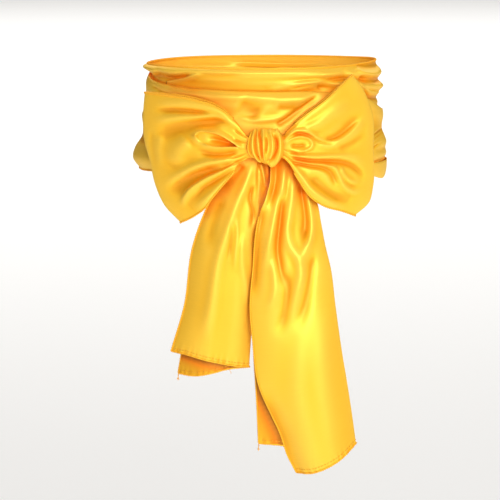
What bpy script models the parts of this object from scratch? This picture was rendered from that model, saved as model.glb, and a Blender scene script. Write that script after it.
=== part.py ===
"""Satin sash: two turns round a waist, tied in front in a bow with two tails.

Sizes are in millimetres and are scaled to metres when a mesh is made. +Z is up, +X is to the
right seen from the front, and the front faces -Y. The origin is the centre of the waist hollow.
"""
from collections import namedtuple

import bpy
import numpy as np

MM = 0.001

# Cloth
WALL = 1.3                  # thickness of the cloth wall
SATIN_YELLOW = (0.96, 0.55, 0.02, 1.0)
SATIN_ROUGHNESS = 0.34

# Waist hollow: half width and half depth, and how far both grow towards the hips
WAIST_HALF_WIDTH = 114.0
WAIST_HALF_DEPTH = 85.0
FLARE_START = 5.0           # height at which the waist begins to widen downwards
FLARE_DROP = 65.0           # drop over which it widens
FLARE_WIDTH = 10.0
FLARE_DEPTH = 2.0
TURN_COLUMNS = 64           # columns of a turn all round
EDGE_SMOOTHING = 3          # how many times a turn's edges are smoothed between their rows

# Swag: the fold that sags below the turns at the right side, between two angles from the right
SWAG_START = -42.0
SWAG_END = 34.0
SWAG_TOP = -47.8
SWAG_EDGE_DROP = 4.0
SWAG_DROP = 20.0
SWAG_INNER = 2.0
SWAG_OUTER = 10.5
SWAG_FLARE = 0.8            # share of the flare reached at its height

# Bow: where the knot sits and how the loops bend back round the waist
KNOT_X = 3.5
KNOT_Y = -117.0
KNOT_Z = -22.0
KNOT_HALF_WIDTH = 18.6
KNOT_HALF_HEIGHT = 18.6
KNOT_FRONT_DEPTH = 17.0
KNOT_BACK_DEPTH = 13.2
KNOT_MOUTH = 0.74           # size of the knot's mouths, against its middle
KNOT_RIM = 0.10             # share of its half width at each mouth over which the pleats die out
KNOT_TOP_NARROW = 0.16      # how much narrower the band is at the top of the knot
KNOT_FOOT_NARROW = 0.44     # the same at its foot
KNOT_FOOT_SHIFT = 3.5       # how far to the right its foot lies
LOOP_BEND = 46.0            # how far a loop's end lies behind the knot
LOOP_REACH = 120.0
LOOP_BEND_POWER = 1.6       # higher keeps a loop straighter beside the knot
LOOP_PLAIN_END = 0.25       # share of a layer's columns over which its folds die out at the end
LOOP_PLAIN_MOUTH = 0.16     # share of its length over which they grow out of the knot
LOOP_MOUTH = 4.3            # half thickness of a loop inside the knot
LOOP_FULL = 17.0            # half thickness of a loop where it is fullest
LOOP_LIFT = 6.0             # how far a loop's lower edge is pushed forward by the tails
LOOP_LIFT_LENGTH = 0.8      # share of a loop's length over which it is pushed
LOOP_SWELL = 0.7            # share of a loop's length over which it swells to its fullest
LOOP_LOWER_PINCH = 0.7      # how far its layers close at the lower edge beside the knot
LOOP_UPPER_PINCH = 0.25     # the same at the upper edge
END_ROUNDING = 0.6          # lower is a blunter end to a loop
END_SPREAD = 1.2            # higher sets its columns closer at the end
TAIL_BEND = 40.0            # how far a tail lies back beside the bow, at the waist's half width
TAIL_FREE = 0.12            # share of its length over which it comes to hang clear
TAIL_BACK_SHARE = 0.7       # how much of the front layer's folds its back layer follows
TAIL_PLAIN_FOLD = 0.2       # share of a layer's columns beside its fold where both follow alike
TAIL_ROW_SPREAD = 0.9       # lower sets the rows closer at the hem
TAIL_COLUMN_SPREAD = 1.3    # higher sets the columns closer at the fold

# A fold is a soft ridge, or a trough where it is lower than nothing, along a bent line
Fold = namedtuple("Fold", "x0 z0 xm zm x1 z1 wide high")
FOLD_STEPS = 15             # places measured along a fold
FOLD_ROOT = 0.12            # how much of its height a fold keeps where it starts
# A place round the waist: its angle from the right side, over the back, and the edge heights
TurnRow = namedtuple("TurnRow", "angle top bottom")
# One level of a turn: how far down its height, and how far out it stands at six places round it
LevelRow = namedtuple("LevelRow", "down right back_right back back_left left front")
LEVEL_ANGLES = [0.0, 50.0, 90.0, 130.0, 180.0, 270.0]


def remove_everything():
    """Empties the scene."""
    for item in list(bpy.data.objects):
        bpy.data.objects.remove(item, do_unlink=True)


def smooth_line(points, at):
    """Places at fractions of the length of a smooth line through the points."""
    knots = np.array(points, dtype=float)
    steps = np.linalg.norm(np.diff(knots, axis=0), axis=1)
    along = np.concatenate([[0.0], np.cumsum(steps)])
    along /= along[-1]
    slopes = np.gradient(knots, along, axis=0)
    at = np.clip(np.asarray(at, dtype=float), 0.0, 1.0)
    index = np.clip(np.searchsorted(along, at, side="right") - 1, 0, len(along) - 2)
    span = along[index + 1] - along[index]
    t = ((at - along[index]) / span)[..., None]
    a, b = knots[index], knots[index + 1]
    ta, tb = slopes[index] * span[..., None], slopes[index + 1] * span[..., None]
    return ((2 * t**3 - 3 * t**2 + 1) * a + (t**3 - 2 * t**2 + t) * ta
            + (-2 * t**3 + 3 * t**2) * b + (t**3 - t**2) * tb)


def panel(start, end, first, last, s, v):
    """A flat panel between four lines: start and end run across it, first and last along it."""
    s_column, v_row = s[..., None], v[..., None]
    across_start, across_end = smooth_line(start, v), smooth_line(end, v)
    along_first, along_last = smooth_line(first, s), smooth_line(last, s)
    corners = ((1 - s_column) * (1 - v_row) * np.array(first[0], dtype=float)
               + (1 - s_column) * v_row * np.array(last[0], dtype=float)
               + s_column * (1 - v_row) * np.array(first[-1], dtype=float)
               + s_column * v_row * np.array(last[-1], dtype=float))
    return ((1 - s_column) * across_start + s_column * across_end
            + (1 - v_row) * along_first + v_row * along_last - corners)


def fold_height(x, z, folds):
    """Sum of the folds' heights at places seen from the front."""
    total = np.zeros_like(x)
    t = np.linspace(0.0, 1.0, FOLD_STEPS)
    for f in folds:
        line_x = (1 - t)**2 * f.x0 + 2 * t * (1 - t) * f.xm + t**2 * f.x1
        line_z = (1 - t)**2 * f.z0 + 2 * t * (1 - t) * f.zm + t**2 * f.z1
        away = np.hypot(x[..., None] - line_x, z[..., None] - line_z)
        nearest = t[np.argmin(away, axis=-1)]
        fade = np.sin(np.pi * (FOLD_ROOT + (1.0 - FOLD_ROOT) * nearest))
        total += f.high * fade * np.exp(-(np.min(away, axis=-1) / f.wide)**2)
    return total


def satin(name):
    """The satin, as a plain glossy material."""
    material = bpy.data.materials.new(name)
    material.use_nodes = True
    shader = material.node_tree.nodes["Principled BSDF"]
    shader.inputs["Base Color"].default_value = SATIN_YELLOW
    shader.inputs["Roughness"].default_value = SATIN_ROUGHNESS
    shader.inputs["Metallic"].default_value = 0.0
    return material


def cloth_wall(name, grid, closed, collection):
    """A wall of cloth through a grid of points, open at its edges, or closed round its columns."""
    rows, columns = grid.shape[:2]
    faces = []
    for row in range(rows - 1):
        for column in range(columns if closed else columns - 1):
            beside = (column + 1) % columns
            faces.append((row * columns + column, row * columns + beside,
                          (row + 1) * columns + beside, (row + 1) * columns + column))
    mesh = bpy.data.meshes.new(name)
    mesh.from_pydata((grid.reshape(-1, 3) * MM).tolist(), [], faces)
    mesh.shade_smooth()
    piece = bpy.data.objects.new(name, mesh)
    collection.objects.link(piece)
    mesh.materials.append(satin(name + "_satin"))
    thickness = piece.modifiers.new("cloth wall", "SOLIDIFY")
    thickness.thickness = WALL * MM
    thickness.offset = 0.0
    return piece


def around(values, angle):
    """A value at an angle round the waist, smooth between the six places of a level."""
    places = np.radians(LEVEL_ANGLES + [360.0])
    closed = np.append(values, values[0])
    tangents = np.gradient(np.concatenate([[closed[-2]], closed, [closed[1]]]),
                           np.concatenate([[places[-2] - 2 * np.pi], places, [places[1] + 2 * np.pi]]))
    tangents = tangents[1:-1]
    index = np.clip(np.searchsorted(places, angle, side="right") - 1, 0, len(places) - 2)
    span = places[index + 1] - places[index]
    t = (angle - places[index]) / span
    return ((2 * t**3 - 3 * t**2 + 1) * closed[index] + (t**3 - 2 * t**2 + t) * tangents[index] * span
            + (-2 * t**3 + 3 * t**2) * closed[index + 1] + (t**3 - t**2) * tangents[index + 1] * span)


def turn_grid(edges, levels):
    """Points of a turn round the waist, from its edge heights and its levels."""
    angle = np.linspace(0.0, 2 * np.pi, TURN_COLUMNS, endpoint=False)
    places = np.radians([row.angle for row in edges] + [edges[0].angle + 360.0])
    top = np.interp(angle, places, [row.top for row in edges] + [edges[0].top])
    bottom = np.interp(angle, places, [row.bottom for row in edges] + [edges[0].bottom])
    for _ in range(EDGE_SMOOTHING):
        top = (np.roll(top, 1) + 2 * top + np.roll(top, -1)) / 4
        bottom = (np.roll(bottom, 1) + 2 * bottom + np.roll(bottom, -1)) / 4
    rows = []
    for level in levels:
        z = top + (bottom - top) * level.down
        out = around(np.array(level[1:]), angle)
        flare = np.clip((FLARE_START - z) / FLARE_DROP, 0.0, 1.0)
        half_width = WAIST_HALF_WIDTH + FLARE_WIDTH * flare + out
        half_depth = WAIST_HALF_DEPTH + FLARE_DEPTH * flare + out
        rows.append(np.stack([half_width * np.cos(angle), half_depth * np.sin(angle), z], axis=-1))
    return np.array(rows)


UPPER_EDGES = [
    #       angle  top    bottom
    TurnRow(0,     57.0,  -2.0),
    TurnRow(45,    55.0,   2.0),
    TurnRow(90,    54.0,  12.0),
    TurnRow(135,   54.0,  24.0),
    TurnRow(180,   53.0,  36.0),
    TurnRow(215,   54.0,  24.0),
    TurnRow(240,   54.0,  22.0),
    TurnRow(270,   54.0,  21.0),
    TurnRow(300,   54.5,  20.0),
    TurnRow(330,   56.0,  10.0),
]
UPPER_LEVELS = [
    #        down  right back_right back back_left left  front
    LevelRow(0.00,  5.5,  4.0,  4.5,  4.0,  6.5,  4.5),
    LevelRow(0.07,  7.0,  6.0,  6.5,  6.0,  9.5,  7.0),
    LevelRow(0.22, 12.0,  8.0,  7.5,  7.0, 11.5,  8.0),
    LevelRow(0.34,  8.5,  6.5,  5.5,  6.0,  8.0,  6.8),
    LevelRow(0.47, 14.0,  8.0,  7.0,  6.5,  4.5,  5.8),
    LevelRow(0.58,  8.5,  5.5,  5.0,  4.0,  2.8,  4.2),
    LevelRow(0.78,  8.0,  3.2,  2.4,  2.0,  1.8,  1.8),
    LevelRow(1.00,  6.5,  1.6,  1.2,  1.2,  1.2,  1.2),
]
LOWER_EDGES = [
    #       angle  top    bottom
    TurnRow(0,      5.0, -47.0),
    TurnRow(45,    12.0, -50.0),
    TurnRow(90,    24.0, -52.0),
    TurnRow(135,   36.0, -54.0),
    TurnRow(180,   42.0, -57.0),
    TurnRow(195,   38.0, -57.0),
    TurnRow(215,   35.0, -55.0),
    TurnRow(240,   32.5, -51.0),
    TurnRow(270,   31.0, -49.0),
    TurnRow(300,   30.0, -50.0),
    TurnRow(330,   20.0, -49.0),
    TurnRow(348,    8.0, -47.0),
]
LOWER_LEVELS = [
    #        down  right back_right back back_left left  front
    LevelRow(0.00, 13.5,  8.5,  6.0,  5.0,  5.6,  5.2),
    LevelRow(0.06, 13.6,  9.5,  8.0,  7.5,  8.0,  8.2),
    LevelRow(0.17, 12.8,  8.5,  9.0,  8.0,  8.6,  8.8),
    LevelRow(0.30, 10.5,  7.0,  6.5,  6.0,  7.5,  8.2),
    LevelRow(0.42, 10.0,  8.5,  8.5,  8.5, 12.0,  8.4),
    LevelRow(0.54, 11.5,  9.5,  8.0,  8.0,  9.5,  8.6),
    LevelRow(0.66, 12.5,  7.5,  6.0,  6.0,  8.5,  9.0),
    LevelRow(0.78, 10.5,  8.5,  7.5,  8.5, 14.0,  9.0),
    LevelRow(0.90, 10.5,  7.0,  6.5,  8.0, 14.5,  7.0),
    LevelRow(1.00,  7.0,  3.0,  3.0,  4.0,  6.0,  4.2),
]


def swag_grid(columns, rows):
    """Points of the fold of cloth that sags below the turns at the right side."""
    along = np.linspace(0.0, 1.0, columns)
    q = np.linspace(0.0, 1.0, rows)
    along, q = np.meshgrid(along, q)
    angle = np.radians(SWAG_START + (SWAG_END - SWAG_START) * along)
    drop = SWAG_EDGE_DROP + (SWAG_DROP - SWAG_EDGE_DROP) * np.sin(np.pi * along)
    out = SWAG_INNER + (SWAG_OUTER - SWAG_INNER) * (1.0 - np.cos(np.pi * q)) / 2
    z = SWAG_TOP - drop * np.sin(np.pi * q)**0.8
    half_width = WAIST_HALF_WIDTH + FLARE_WIDTH * SWAG_FLARE + out
    half_depth = WAIST_HALF_DEPTH + FLARE_DEPTH * SWAG_FLARE + out
    return np.stack([half_width * np.cos(angle), half_depth * np.sin(angle), z], axis=-1)


def loop_depth(x):
    """How far forward the middle of a loop lies at a place across the bow."""
    reach = np.clip(np.abs(x - KNOT_X) / LOOP_REACH, 0.0, 1.2)
    return KNOT_Y + LOOP_BEND * reach**LOOP_BEND_POWER


def loop_grid(mouth, end, upper_edge, lower_edge, front_folds, back_folds, columns, rows):
    """Points of a bow loop: out along its front layer, round its end, back along its back layer."""
    t = np.linspace(-1.0, 1.0, columns)
    v = np.linspace(0.0, 1.0, rows)
    t, v = np.meshgrid(t, v)
    s = 1.0 - np.abs(t)**END_SPREAD
    flat = panel(mouth, end, upper_edge, lower_edge, s, v)
    x, z = flat[..., 0], flat[..., 1]
    swell = np.sin(np.pi / 2 * np.clip(s / LOOP_SWELL, 0.0, 1.0))**2
    pinch = (1.0 - LOOP_LOWER_PINCH * (1.0 - s)**0.8 * v**3
             - LOOP_UPPER_PINCH * (1.0 - s) * (1.0 - v)**3)
    half = (LOOP_MOUTH + (LOOP_FULL - LOOP_MOUTH) * swell) * pinch * np.abs(t)**END_ROUNDING
    front = np.where(t < 0, 1.0, -1.0)
    clear_of_end = np.clip(np.abs(t) / LOOP_PLAIN_END, 0.0, 1.0)
    clear_of_knot = np.clip(s / LOOP_PLAIN_MOUTH, 0.1, 1.0)
    folds = np.where(t < 0, fold_height(x, z, front_folds), fold_height(x, z, back_folds))
    lift = LOOP_LIFT * v**3 * np.sin(np.pi * np.clip(s / LOOP_LIFT_LENGTH, 0.0, 1.0))
    y = loop_depth(x) - lift - front * (half + folds * clear_of_end * clear_of_knot)
    return np.stack([x, y, z], axis=-1)


LEFT_LOOP = dict(
    mouth=[(-8, -17), (-8, -22), (-8, -29)],
    end=[(-121, 28), (-123, 2), (-122, -20), (-116, -43), (-110, -68), (-101, -87), (-84, -104)],
    upper_edge=[(-8, -17), (-14.5, -16.5), (-18, -10), (-28, 5), (-41, 15), (-68, 24), (-98, 27), (-121, 28)],
    lower_edge=[(-8, -29), (-14, -30), (-18, -35), (-31, -51), (-49, -73), (-59, -87), (-70, -96), (-84, -104)],
    front_folds=[
        #    x0   z0   xm   zm   x1    z1   wide  high
        Fold(-18, -14, -40, 2, -112, 12, 9.0, 3.5),
        Fold(-34, 2, -70, 8, -118, -12, 12.0, -3.5),
        Fold(-26, -18, -52, 0, -74, -2, 6.0, 4.5),
        Fold(-28, -26, -46, -18, -66, -12, 5.0, -3.5),
        Fold(-24, -30, -52, -34, -76, -14, 6.0, 4.5),
        Fold(-26, -32, -62, -38, -112, -46, 11.0, 3.0),
        Fold(-24, -36, -50, -52, -92, -70, 8.0, -4.0),
        Fold(-26, -42, -50, -62, -84, -94, 7.0, 5.0),
    ],
    back_folds=[
        Fold(-20, -16, -50, 4, -108, 8, 9.0, 2.5),
        Fold(-20, -24, -60, -22, -112, -24, 8.0, -2.5),
        Fold(-22, -32, -50, -52, -90, -80, 9.0, 2.5),
    ],
)
RIGHT_LOOP = dict(
    mouth=[(15, -16), (15, -22), (15, -29)],
    end=[(92, 48), (100, 39), (108, 24), (114, 6), (115, -28), (115, -68), (111, -84), (96, -97)],
    upper_edge=[(15, -16), (21.5, -15.5), (25, -10), (35, 2), (63, 23), (92, 48)],
    lower_edge=[(15, -29), (21, -30), (25, -35), (36, -54), (51, -75), (64, -84), (83, -91), (96, -97)],
    front_folds=[
        #    x0   z0   xm   zm   x1    z1   wide  high
        Fold(26, -12, 50, 6, 84, 30, 9.0, 3.0),
        Fold(32, -12, 72, -14, 92, 14, 7.0, -4.5),
        Fold(30, -16, 78, -22, 104, 8, 7.0, 4.0),
        Fold(28, -22, 40, -14, 52, -20, 5.0, 3.5),
        Fold(34, -27, 70, -30, 110, -24, 9.0, 2.5),
        Fold(30, -30, 66, -42, 106, -62, 7.0, -3.0),
        Fold(30, -34, 66, -46, 74, -84, 6.0, 4.0),
        Fold(60, -50, 80, -56, 88, -86, 6.0, -3.0),
    ],
    back_folds=[
        Fold(26, -14, 56, 4, 92, 26, 9.0, 2.5),
        Fold(26, -24, 60, -24, 106, -20, 8.0, -2.5),
        Fold(26, -32, 56, -50, 96, -78, 9.0, 2.5),
    ],
)


KNOT_FOLDS = [
    #    x0   z0   xm   zm   x1    z1    wide high
    Fold(-10, -4, -21, -24, 0, -39, 1.9, 2.0),
    Fold(-8, -6, -15, -26, -2, -38, 1.4, -1.6),
    Fold(-6, -4, -12, -26, 1, -38, 2.0, 2.2),
    Fold(-2, -4, -3, -22, 1.5, -36, 1.5, -2.2),
    Fold(1.5, -4, 1.5, -22, 2.6, -37, 2.0, 2.0),
    Fold(4, -7, 6.5, -22, 3, -34, 1.5, -2.2),
    Fold(6.5, -4, 13, -22, 6, -36, 2.4, 2.2),
    Fold(9, -8, 21, -20, 3.5, -37.5, 1.8, -2.5),
    Fold(12, -4, 26, -22, 5, -40.5, 2.6, 2.8),
]


def knot_grid(columns, rows):
    """Points of the knot's band: round its ring, and across its pleats."""
    u = np.linspace(-1.0, 1.0, rows)
    angle = np.linspace(0.0, 2 * np.pi, columns, endpoint=False)
    angle, u = np.meshgrid(angle, u)
    barrel = 1.0 - (1.0 - KNOT_MOUTH) * u**2
    fade = np.clip((1.0 - np.abs(u)) / KNOT_RIM, 0.0, 1.0)
    depth = np.where(np.cos(angle) > 0, KNOT_FRONT_DEPTH, KNOT_BACK_DEPTH)
    up = np.maximum(np.sin(angle), 0.0)
    down = np.maximum(-np.sin(angle), 0.0)
    half_width = KNOT_HALF_WIDTH * (1.0 - KNOT_TOP_NARROW * up**2 - KNOT_FOOT_NARROW * down**3)
    x = KNOT_X + KNOT_FOOT_SHIFT * down**3 + half_width * u
    z = KNOT_Z + KNOT_HALF_HEIGHT * barrel * np.sin(angle)
    facing = np.clip(0.5 + 1.5 * np.cos(angle), 0.0, 1.0)
    pleats = fold_height(x, z, KNOT_FOLDS) * fade * facing
    y = KNOT_Y - (depth * barrel + pleats) * np.cos(angle)
    z = z + pleats * np.sin(angle)
    return np.stack([x, y, z], axis=-1)


def tail_grid(tail, columns, rows):
    """Places of a tail's points, with its two layers set apart in depth."""
    t = np.linspace(-1.0, 1.0, columns)
    v = np.linspace(0.0, 1.0, rows)**TAIL_ROW_SPREAD
    t, v = np.meshgrid(t, v)
    s = 1.0 - np.abs(t)**TAIL_COLUMN_SPREAD
    front = panel(tail["front_top"], tail["front_hem"], tail["front_edge"], tail["fold_edge"], v, s)
    behind = panel(tail["back_top"], tail["back_hem"], tail["back_edge"], tail["fold_edge"], v, s)
    is_front = t < 0
    flat = np.where(is_front[..., None], front, behind)
    x, z = flat[..., 0], flat[..., 1]
    hanging = np.clip((v - tail["free"]) / TAIL_FREE, 0.0, 1.0)
    middle = np.interp(v, tail["depth_at"], tail["depth"])
    middle += (1.0 - hanging) * TAIL_BEND * (x / WAIST_HALF_WIDTH)**2
    middle += hanging * tail["left_turn"] * np.clip(1.0 - s / tail["left_share"], 0.0, 1.0)**2
    middle += hanging * tail["right_turn"] * np.clip(1.0 - (1.0 - s) / tail["right_share"], 0.0, 1.0)**2
    apart = np.interp(v, tail["depth_at"], tail["apart"]) * np.sqrt(np.abs(t))
    away = np.clip(np.abs(t) / TAIL_PLAIN_FOLD, 0.0, 1.0)
    share = np.where(is_front, 1.0, 1.0 - (1.0 - TAIL_BACK_SHARE) * away)
    y = middle - np.where(is_front, apart, -apart) - share * fold_height(x, z, tail["folds"])
    return np.stack([x, y, z], axis=-1)


LEFT_TAIL = dict(
    front_top=[(-13, -27), (-8, -27), (-2, -27)],
    front_edge=[(-13, -27), (-23, -40), (-41, -60), (-57, -90), (-71, -129), (-80, -191), (-94, -239)],
    fold_edge=[(-2, -27), (4, -42), (7.5, -51), (9, -60), (6, -72), (2, -84), (1, -95), (-1, -120), (-5, -150),
               (-9, -190), (-11, -224), (-13, -254)],
    front_hem=[(-94, -239), (-80, -240), (-54, -246), (-40, -249), (-13, -254)],
    back_top=[(-13, -27), (-8, -27), (-2, -27)],
    back_edge=[(-13, -27), (-20, -42), (-39, -64), (-55, -95), (-66, -140), (-77, -205), (-87, -264)],
    back_hem=[(-87, -264), (-71, -264), (-52, -260), (-33, -255), (-13, -254)],
    depth_at=[0.0, 0.10, 0.30, 0.60, 1.0],
    depth=[-99.4, -99.6, -103.0, -106.0, -104.0],
    apart=[2.6, 3.2, 4.5, 4.5, 4.0],
    free=0.12, left_turn=17.0, left_share=0.55, right_turn=8.0, right_share=0.3,
    folds=[
        #    x0   z0   xm   zm    x1   z1    wide high
        Fold(-9, -38, -32, -95, -55, -215, 6.5, 3.0),
        Fold(-9, -62, -11, -85, -12, -120, 3.5, -2.0),
        Fold(-38, -74, -50, -100, -57, -135, 7.0, -2.5),
        Fold(-20, -110, -20, -150, -13, -200, 5.0, 1.3),
    ],
)
RIGHT_TAIL = dict(
    front_top=[(7, -27), (13, -27), (20, -27)],
    front_edge=[(7, -27), (8.5, -45), (8.5, -58), (5, -72), (-1, -88), (-5, -105), (-9, -149), (-12, -189),
                (-9, -225), (-3, -270), (10, -302), (19, -322), (27, -346), (36, -364)],
    fold_edge=[(20, -27), (30, -42), (46, -62), (56, -80), (61, -104), (65, -125), (71, -150),
               (76, -189), (82, -231), (90, -279), (94, -305), (98, -334)],
    front_hem=[(36, -364), (53, -361), (66, -356), (82, -347), (98, -334)],
    back_top=[(7, -27), (13, -27), (20, -27)],
    back_edge=[(7, -27), (9, -47), (7, -68), (-1, -95), (-5, -130), (-10, -189), (-8, -240), (-5, -290),
               (-3, -335)],
    back_hem=[(-3, -335), (17, -335), (50, -342), (83, -344), (98, -334)],
    depth_at=[0.0, 0.04, 0.08, 0.14, 0.60, 1.0],
    depth=[-99.4, -101.0, -105.5, -107.6, -118.0, -112.0],
    apart=[2.6, 3.0, 3.4, 4.2, 5.0, 4.5],
    free=0.24, left_turn=5.0, left_share=0.6, right_turn=13.0, right_share=0.4,
    folds=[
        #    x0  z0   xm  zm    x1  z1    wide high
        Fold(23, -40, 21, -90, 3, -154, 4.0, 3.0),
        Fold(20, -62, 12, -110, 20, -172, 4.0, -3.6),
        Fold(33, -58, 18, -112, 40, -152, 4.0, 2.8),
        Fold(43, -60, 57, -105, 41, -144, 4.0, 2.8),
        Fold(39, -56, 46, -88, 43, -122, 3.6, -2.8),
        Fold(22, -140, 27, -180, 14, -218, 6.5, -2.0),
        Fold(52, -128, 49, -170, 36, -214, 6.5, -2.0),
        Fold(60, -150, 60, -250, 50, -338, 13.0, 2.8),
    ],
)


def build():
    """Makes the sash, one wall of cloth for each stretch that shows."""
    remove_everything()
    sash = bpy.data.collections.new("satin_sash")
    bpy.context.scene.collection.children.link(sash)
    cloth_wall("turn_upper", turn_grid(UPPER_EDGES, UPPER_LEVELS), True, sash)
    cloth_wall("turn_lower", turn_grid(LOWER_EDGES, LOWER_LEVELS), True, sash)
    cloth_wall("side_swag", swag_grid(columns=15, rows=10), False, sash)
    cloth_wall("bow_loop_left", loop_grid(**LEFT_LOOP, columns=27, rows=13), False, sash)
    cloth_wall("bow_loop_right", loop_grid(**RIGHT_LOOP, columns=27, rows=13), False, sash)
    cloth_wall("bow_knot", knot_grid(columns=24, rows=29), True, sash)
    cloth_wall("tail_left", tail_grid(LEFT_TAIL, columns=27, rows=22), False, sash)
    cloth_wall("tail_right", tail_grid(RIGHT_TAIL, columns=27, rows=26), False, sash)


build()
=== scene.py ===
from collections import namedtuple

import bpy
import numpy as np
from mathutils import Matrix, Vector
from mathutils.bvhtree import BVHTree


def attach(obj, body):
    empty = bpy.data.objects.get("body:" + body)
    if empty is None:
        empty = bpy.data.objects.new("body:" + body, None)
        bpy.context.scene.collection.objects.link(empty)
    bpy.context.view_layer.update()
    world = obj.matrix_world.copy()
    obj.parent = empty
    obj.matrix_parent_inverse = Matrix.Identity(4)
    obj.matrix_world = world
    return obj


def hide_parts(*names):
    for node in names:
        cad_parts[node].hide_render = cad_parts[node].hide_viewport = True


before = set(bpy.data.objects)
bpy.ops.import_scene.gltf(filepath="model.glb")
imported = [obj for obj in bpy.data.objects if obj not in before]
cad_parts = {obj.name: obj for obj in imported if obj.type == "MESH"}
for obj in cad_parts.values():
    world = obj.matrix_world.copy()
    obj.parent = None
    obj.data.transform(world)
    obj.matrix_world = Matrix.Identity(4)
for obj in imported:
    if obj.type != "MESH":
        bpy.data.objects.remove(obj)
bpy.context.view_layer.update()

# Floor, light and camera
# A plain pale studio floor far below, soft panels of light in front, and a camera a little above
# the waist, as a sash is shown for sale.
FLOOR_HEIGHT = -1.05
FLOOR_SIZE = 60.0
FLOOR_COLOUR = (0.93, 0.93, 0.93, 1.0)
FLOOR_GLOW_COLOUR = (1.0, 1.0, 1.0, 1.0)
FLOOR_GLOW = 0.06
ROOM_COLOUR = (1.0, 0.86, 0.62, 1.0)
ROOM_STRENGTH = 0.10
CAMERA_PLACE = (0.0, -2.587145, 0.258231)
CAMERA_TILT = 8.896936      # degrees down from level
CAMERA_TURN = 0.281261      # degrees to the left
CAMERA_ANGLE = 11.639331    # degrees seen across the picture

scene = bpy.context.scene
scene.view_settings.view_transform = "Standard"


def linked(name, data):
    """A new object in the scene."""
    thing = bpy.data.objects.new(name, data)
    scene.collection.objects.link(thing)
    return thing


camera_data = bpy.data.cameras.new("camera")
camera_data.sensor_fit = "HORIZONTAL"
camera_data.angle = np.radians(CAMERA_ANGLE)
camera = linked("camera", camera_data)
camera.location = CAMERA_PLACE
camera.rotation_euler = (np.radians(90.0 - CAMERA_TILT), 0.0, np.radians(CAMERA_TURN))
scene.camera = camera

def fill(made, inputs):
    """Inputs of a node set to values, or joined to what another node gives."""
    for key, value in inputs.items():
        if isinstance(value, bpy.types.NodeSocket):
            made.id_data.links.new(value, made.inputs[key])
        else:
            made.inputs[key].default_value = value


def finish(name, surface):
    """A new material with the given values of its surface."""
    material = bpy.data.materials.new(name)
    material.use_nodes = True
    fill(material.node_tree.nodes["Principled BSDF"], surface)
    return material


floor_mesh = bpy.data.meshes.new("floor")
half_floor = FLOOR_SIZE / 2
floor_mesh.from_pydata([(-half_floor, -half_floor, FLOOR_HEIGHT), (half_floor, -half_floor, FLOOR_HEIGHT),
                        (half_floor, half_floor, FLOOR_HEIGHT), (-half_floor, half_floor, FLOOR_HEIGHT)],
                       [], [(0, 1, 2, 3)])
floor = linked("floor", floor_mesh)
floor_mesh.materials.append(finish("pale_floor", {"Base Color": FLOOR_COLOUR, "Roughness": 0.9,
                                                  "Emission Color": FLOOR_GLOW_COLOUR,
                                                  "Emission Strength": FLOOR_GLOW}))

LightRow = namedtuple("LightRow", "name place aim size power")
LIGHTS = [
    LightRow("front_panel", (0.55, -2.82, 0.60), (0.0, 0.0, -0.1), 1.2, 83.0),
    LightRow("left_panel", (-2.0, -1.6, 0.5), (0.0, 0.0, -0.1), 0.8, 4.0),
    LightRow("right_panel", (1.9, -0.9, 0.5), (0.0, 0.0, -0.1), 1.0, 4.0),
    LightRow("top_panel", (0.0, -0.3, 1.8), (0.0, 0.0, 0.0), 1.2, 5.0),
    LightRow("floor_panel", (0.0, 12.5, 8.0), (0.0, 12.5, -1.0), 19.0, 2300.0),
]
for row in LIGHTS:
    panel_light = bpy.data.lights.new(row.name, "AREA")
    panel_light.size = row.size
    panel_light.energy = row.power
    lamp = linked(row.name, panel_light)
    lamp.location = row.place
    lamp.rotation_euler = (Vector(row.aim) - Vector(row.place)).to_track_quat("-Z", "Y").to_euler()

world = bpy.data.worlds.new("studio")
scene.world = world
world.use_nodes = True
fill(world.node_tree.nodes["Background"], {"Color": ROOM_COLOUR, "Strength": ROOM_STRENGTH})

# Upper turn
# The first turn of the sash round the waist: one layer of satin, rolled hem along its top edge,
# its soft folds running round the waist and its lower part lying under the second turn.
MM = 0.001
SHELL = 0.5                 # thickness of the satin
WAIST_HALF_WIDTH = 114.0
WAIST_HALF_DEPTH = 85.0
FLARE_START = 5.0           # height at which the waist begins to widen downwards
FLARE_DROP = 65.0
FLARE_WIDTH = 10.0
FLARE_DEPTH = 2.0
TURN_COLUMNS = 520
TURN_ROWS = 44
SIDE_BLEND = 2.2            # higher passes sooner from the front's folds to the back's

# A fold is a soft ridge, or a trough where it is lower than nothing, along a line seen from the
# front. It widens along its length, leans to the left of its line, and fades in and out.
Fold = namedtuple("Fold", "line wide wide_end high lean rise fall", defaults=(0.0, 0.2, 0.35))
FOLD_STEPS = 28
FOLD_REACH = 3.0            # widths of a fold past which it is level
EdgeRow = namedtuple("EdgeRow", "angle top bottom")
LevelRow = namedtuple("LevelRow", "down right back_right back back_left left front")
LEVEL_ANGLES = np.radians([0.0, 50.0, 90.0, 130.0, 180.0, 270.0])

# How hollow the cloth lies is taken over small, middle and large stretches of the grid.
# The satin's colour turns this into painted shade in the hollows and a painted highlight on the ridges.
HollowSize = namedtuple("HollowSize", "points deep share")
HOLLOW_SIZES = [HollowSize(3, 0.25, 0.3), HollowSize(8, 1.1, 0.6), HollowSize(20, 2.6, 0.5)]
Stretch = namedtuple("Stretch", "piece grid closed outwards")
stretches = {}


def smooth_between(places, values, at):
    """Values at new places, smooth between the given ones."""
    values = np.asarray(values, dtype=float)
    slopes = np.gradient(values, places, axis=0)
    at = np.clip(np.asarray(at, dtype=float), places[0], places[-1])
    index = np.clip(np.searchsorted(places, at, side="right") - 1, 0, len(places) - 2)
    span = places[index + 1] - places[index]
    t = (at - places[index]) / span
    wide = (slice(None),) * t.ndim + (None,) * (values.ndim - 1)
    t, span = t[wide], span[wide]
    return ((2 * t**3 - 3 * t**2 + 1) * values[index] + (t**3 - 2 * t**2 + t) * slopes[index] * span
            + (-2 * t**3 + 3 * t**2) * values[index + 1] + (t**3 - t**2) * slopes[index + 1] * span)


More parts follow.
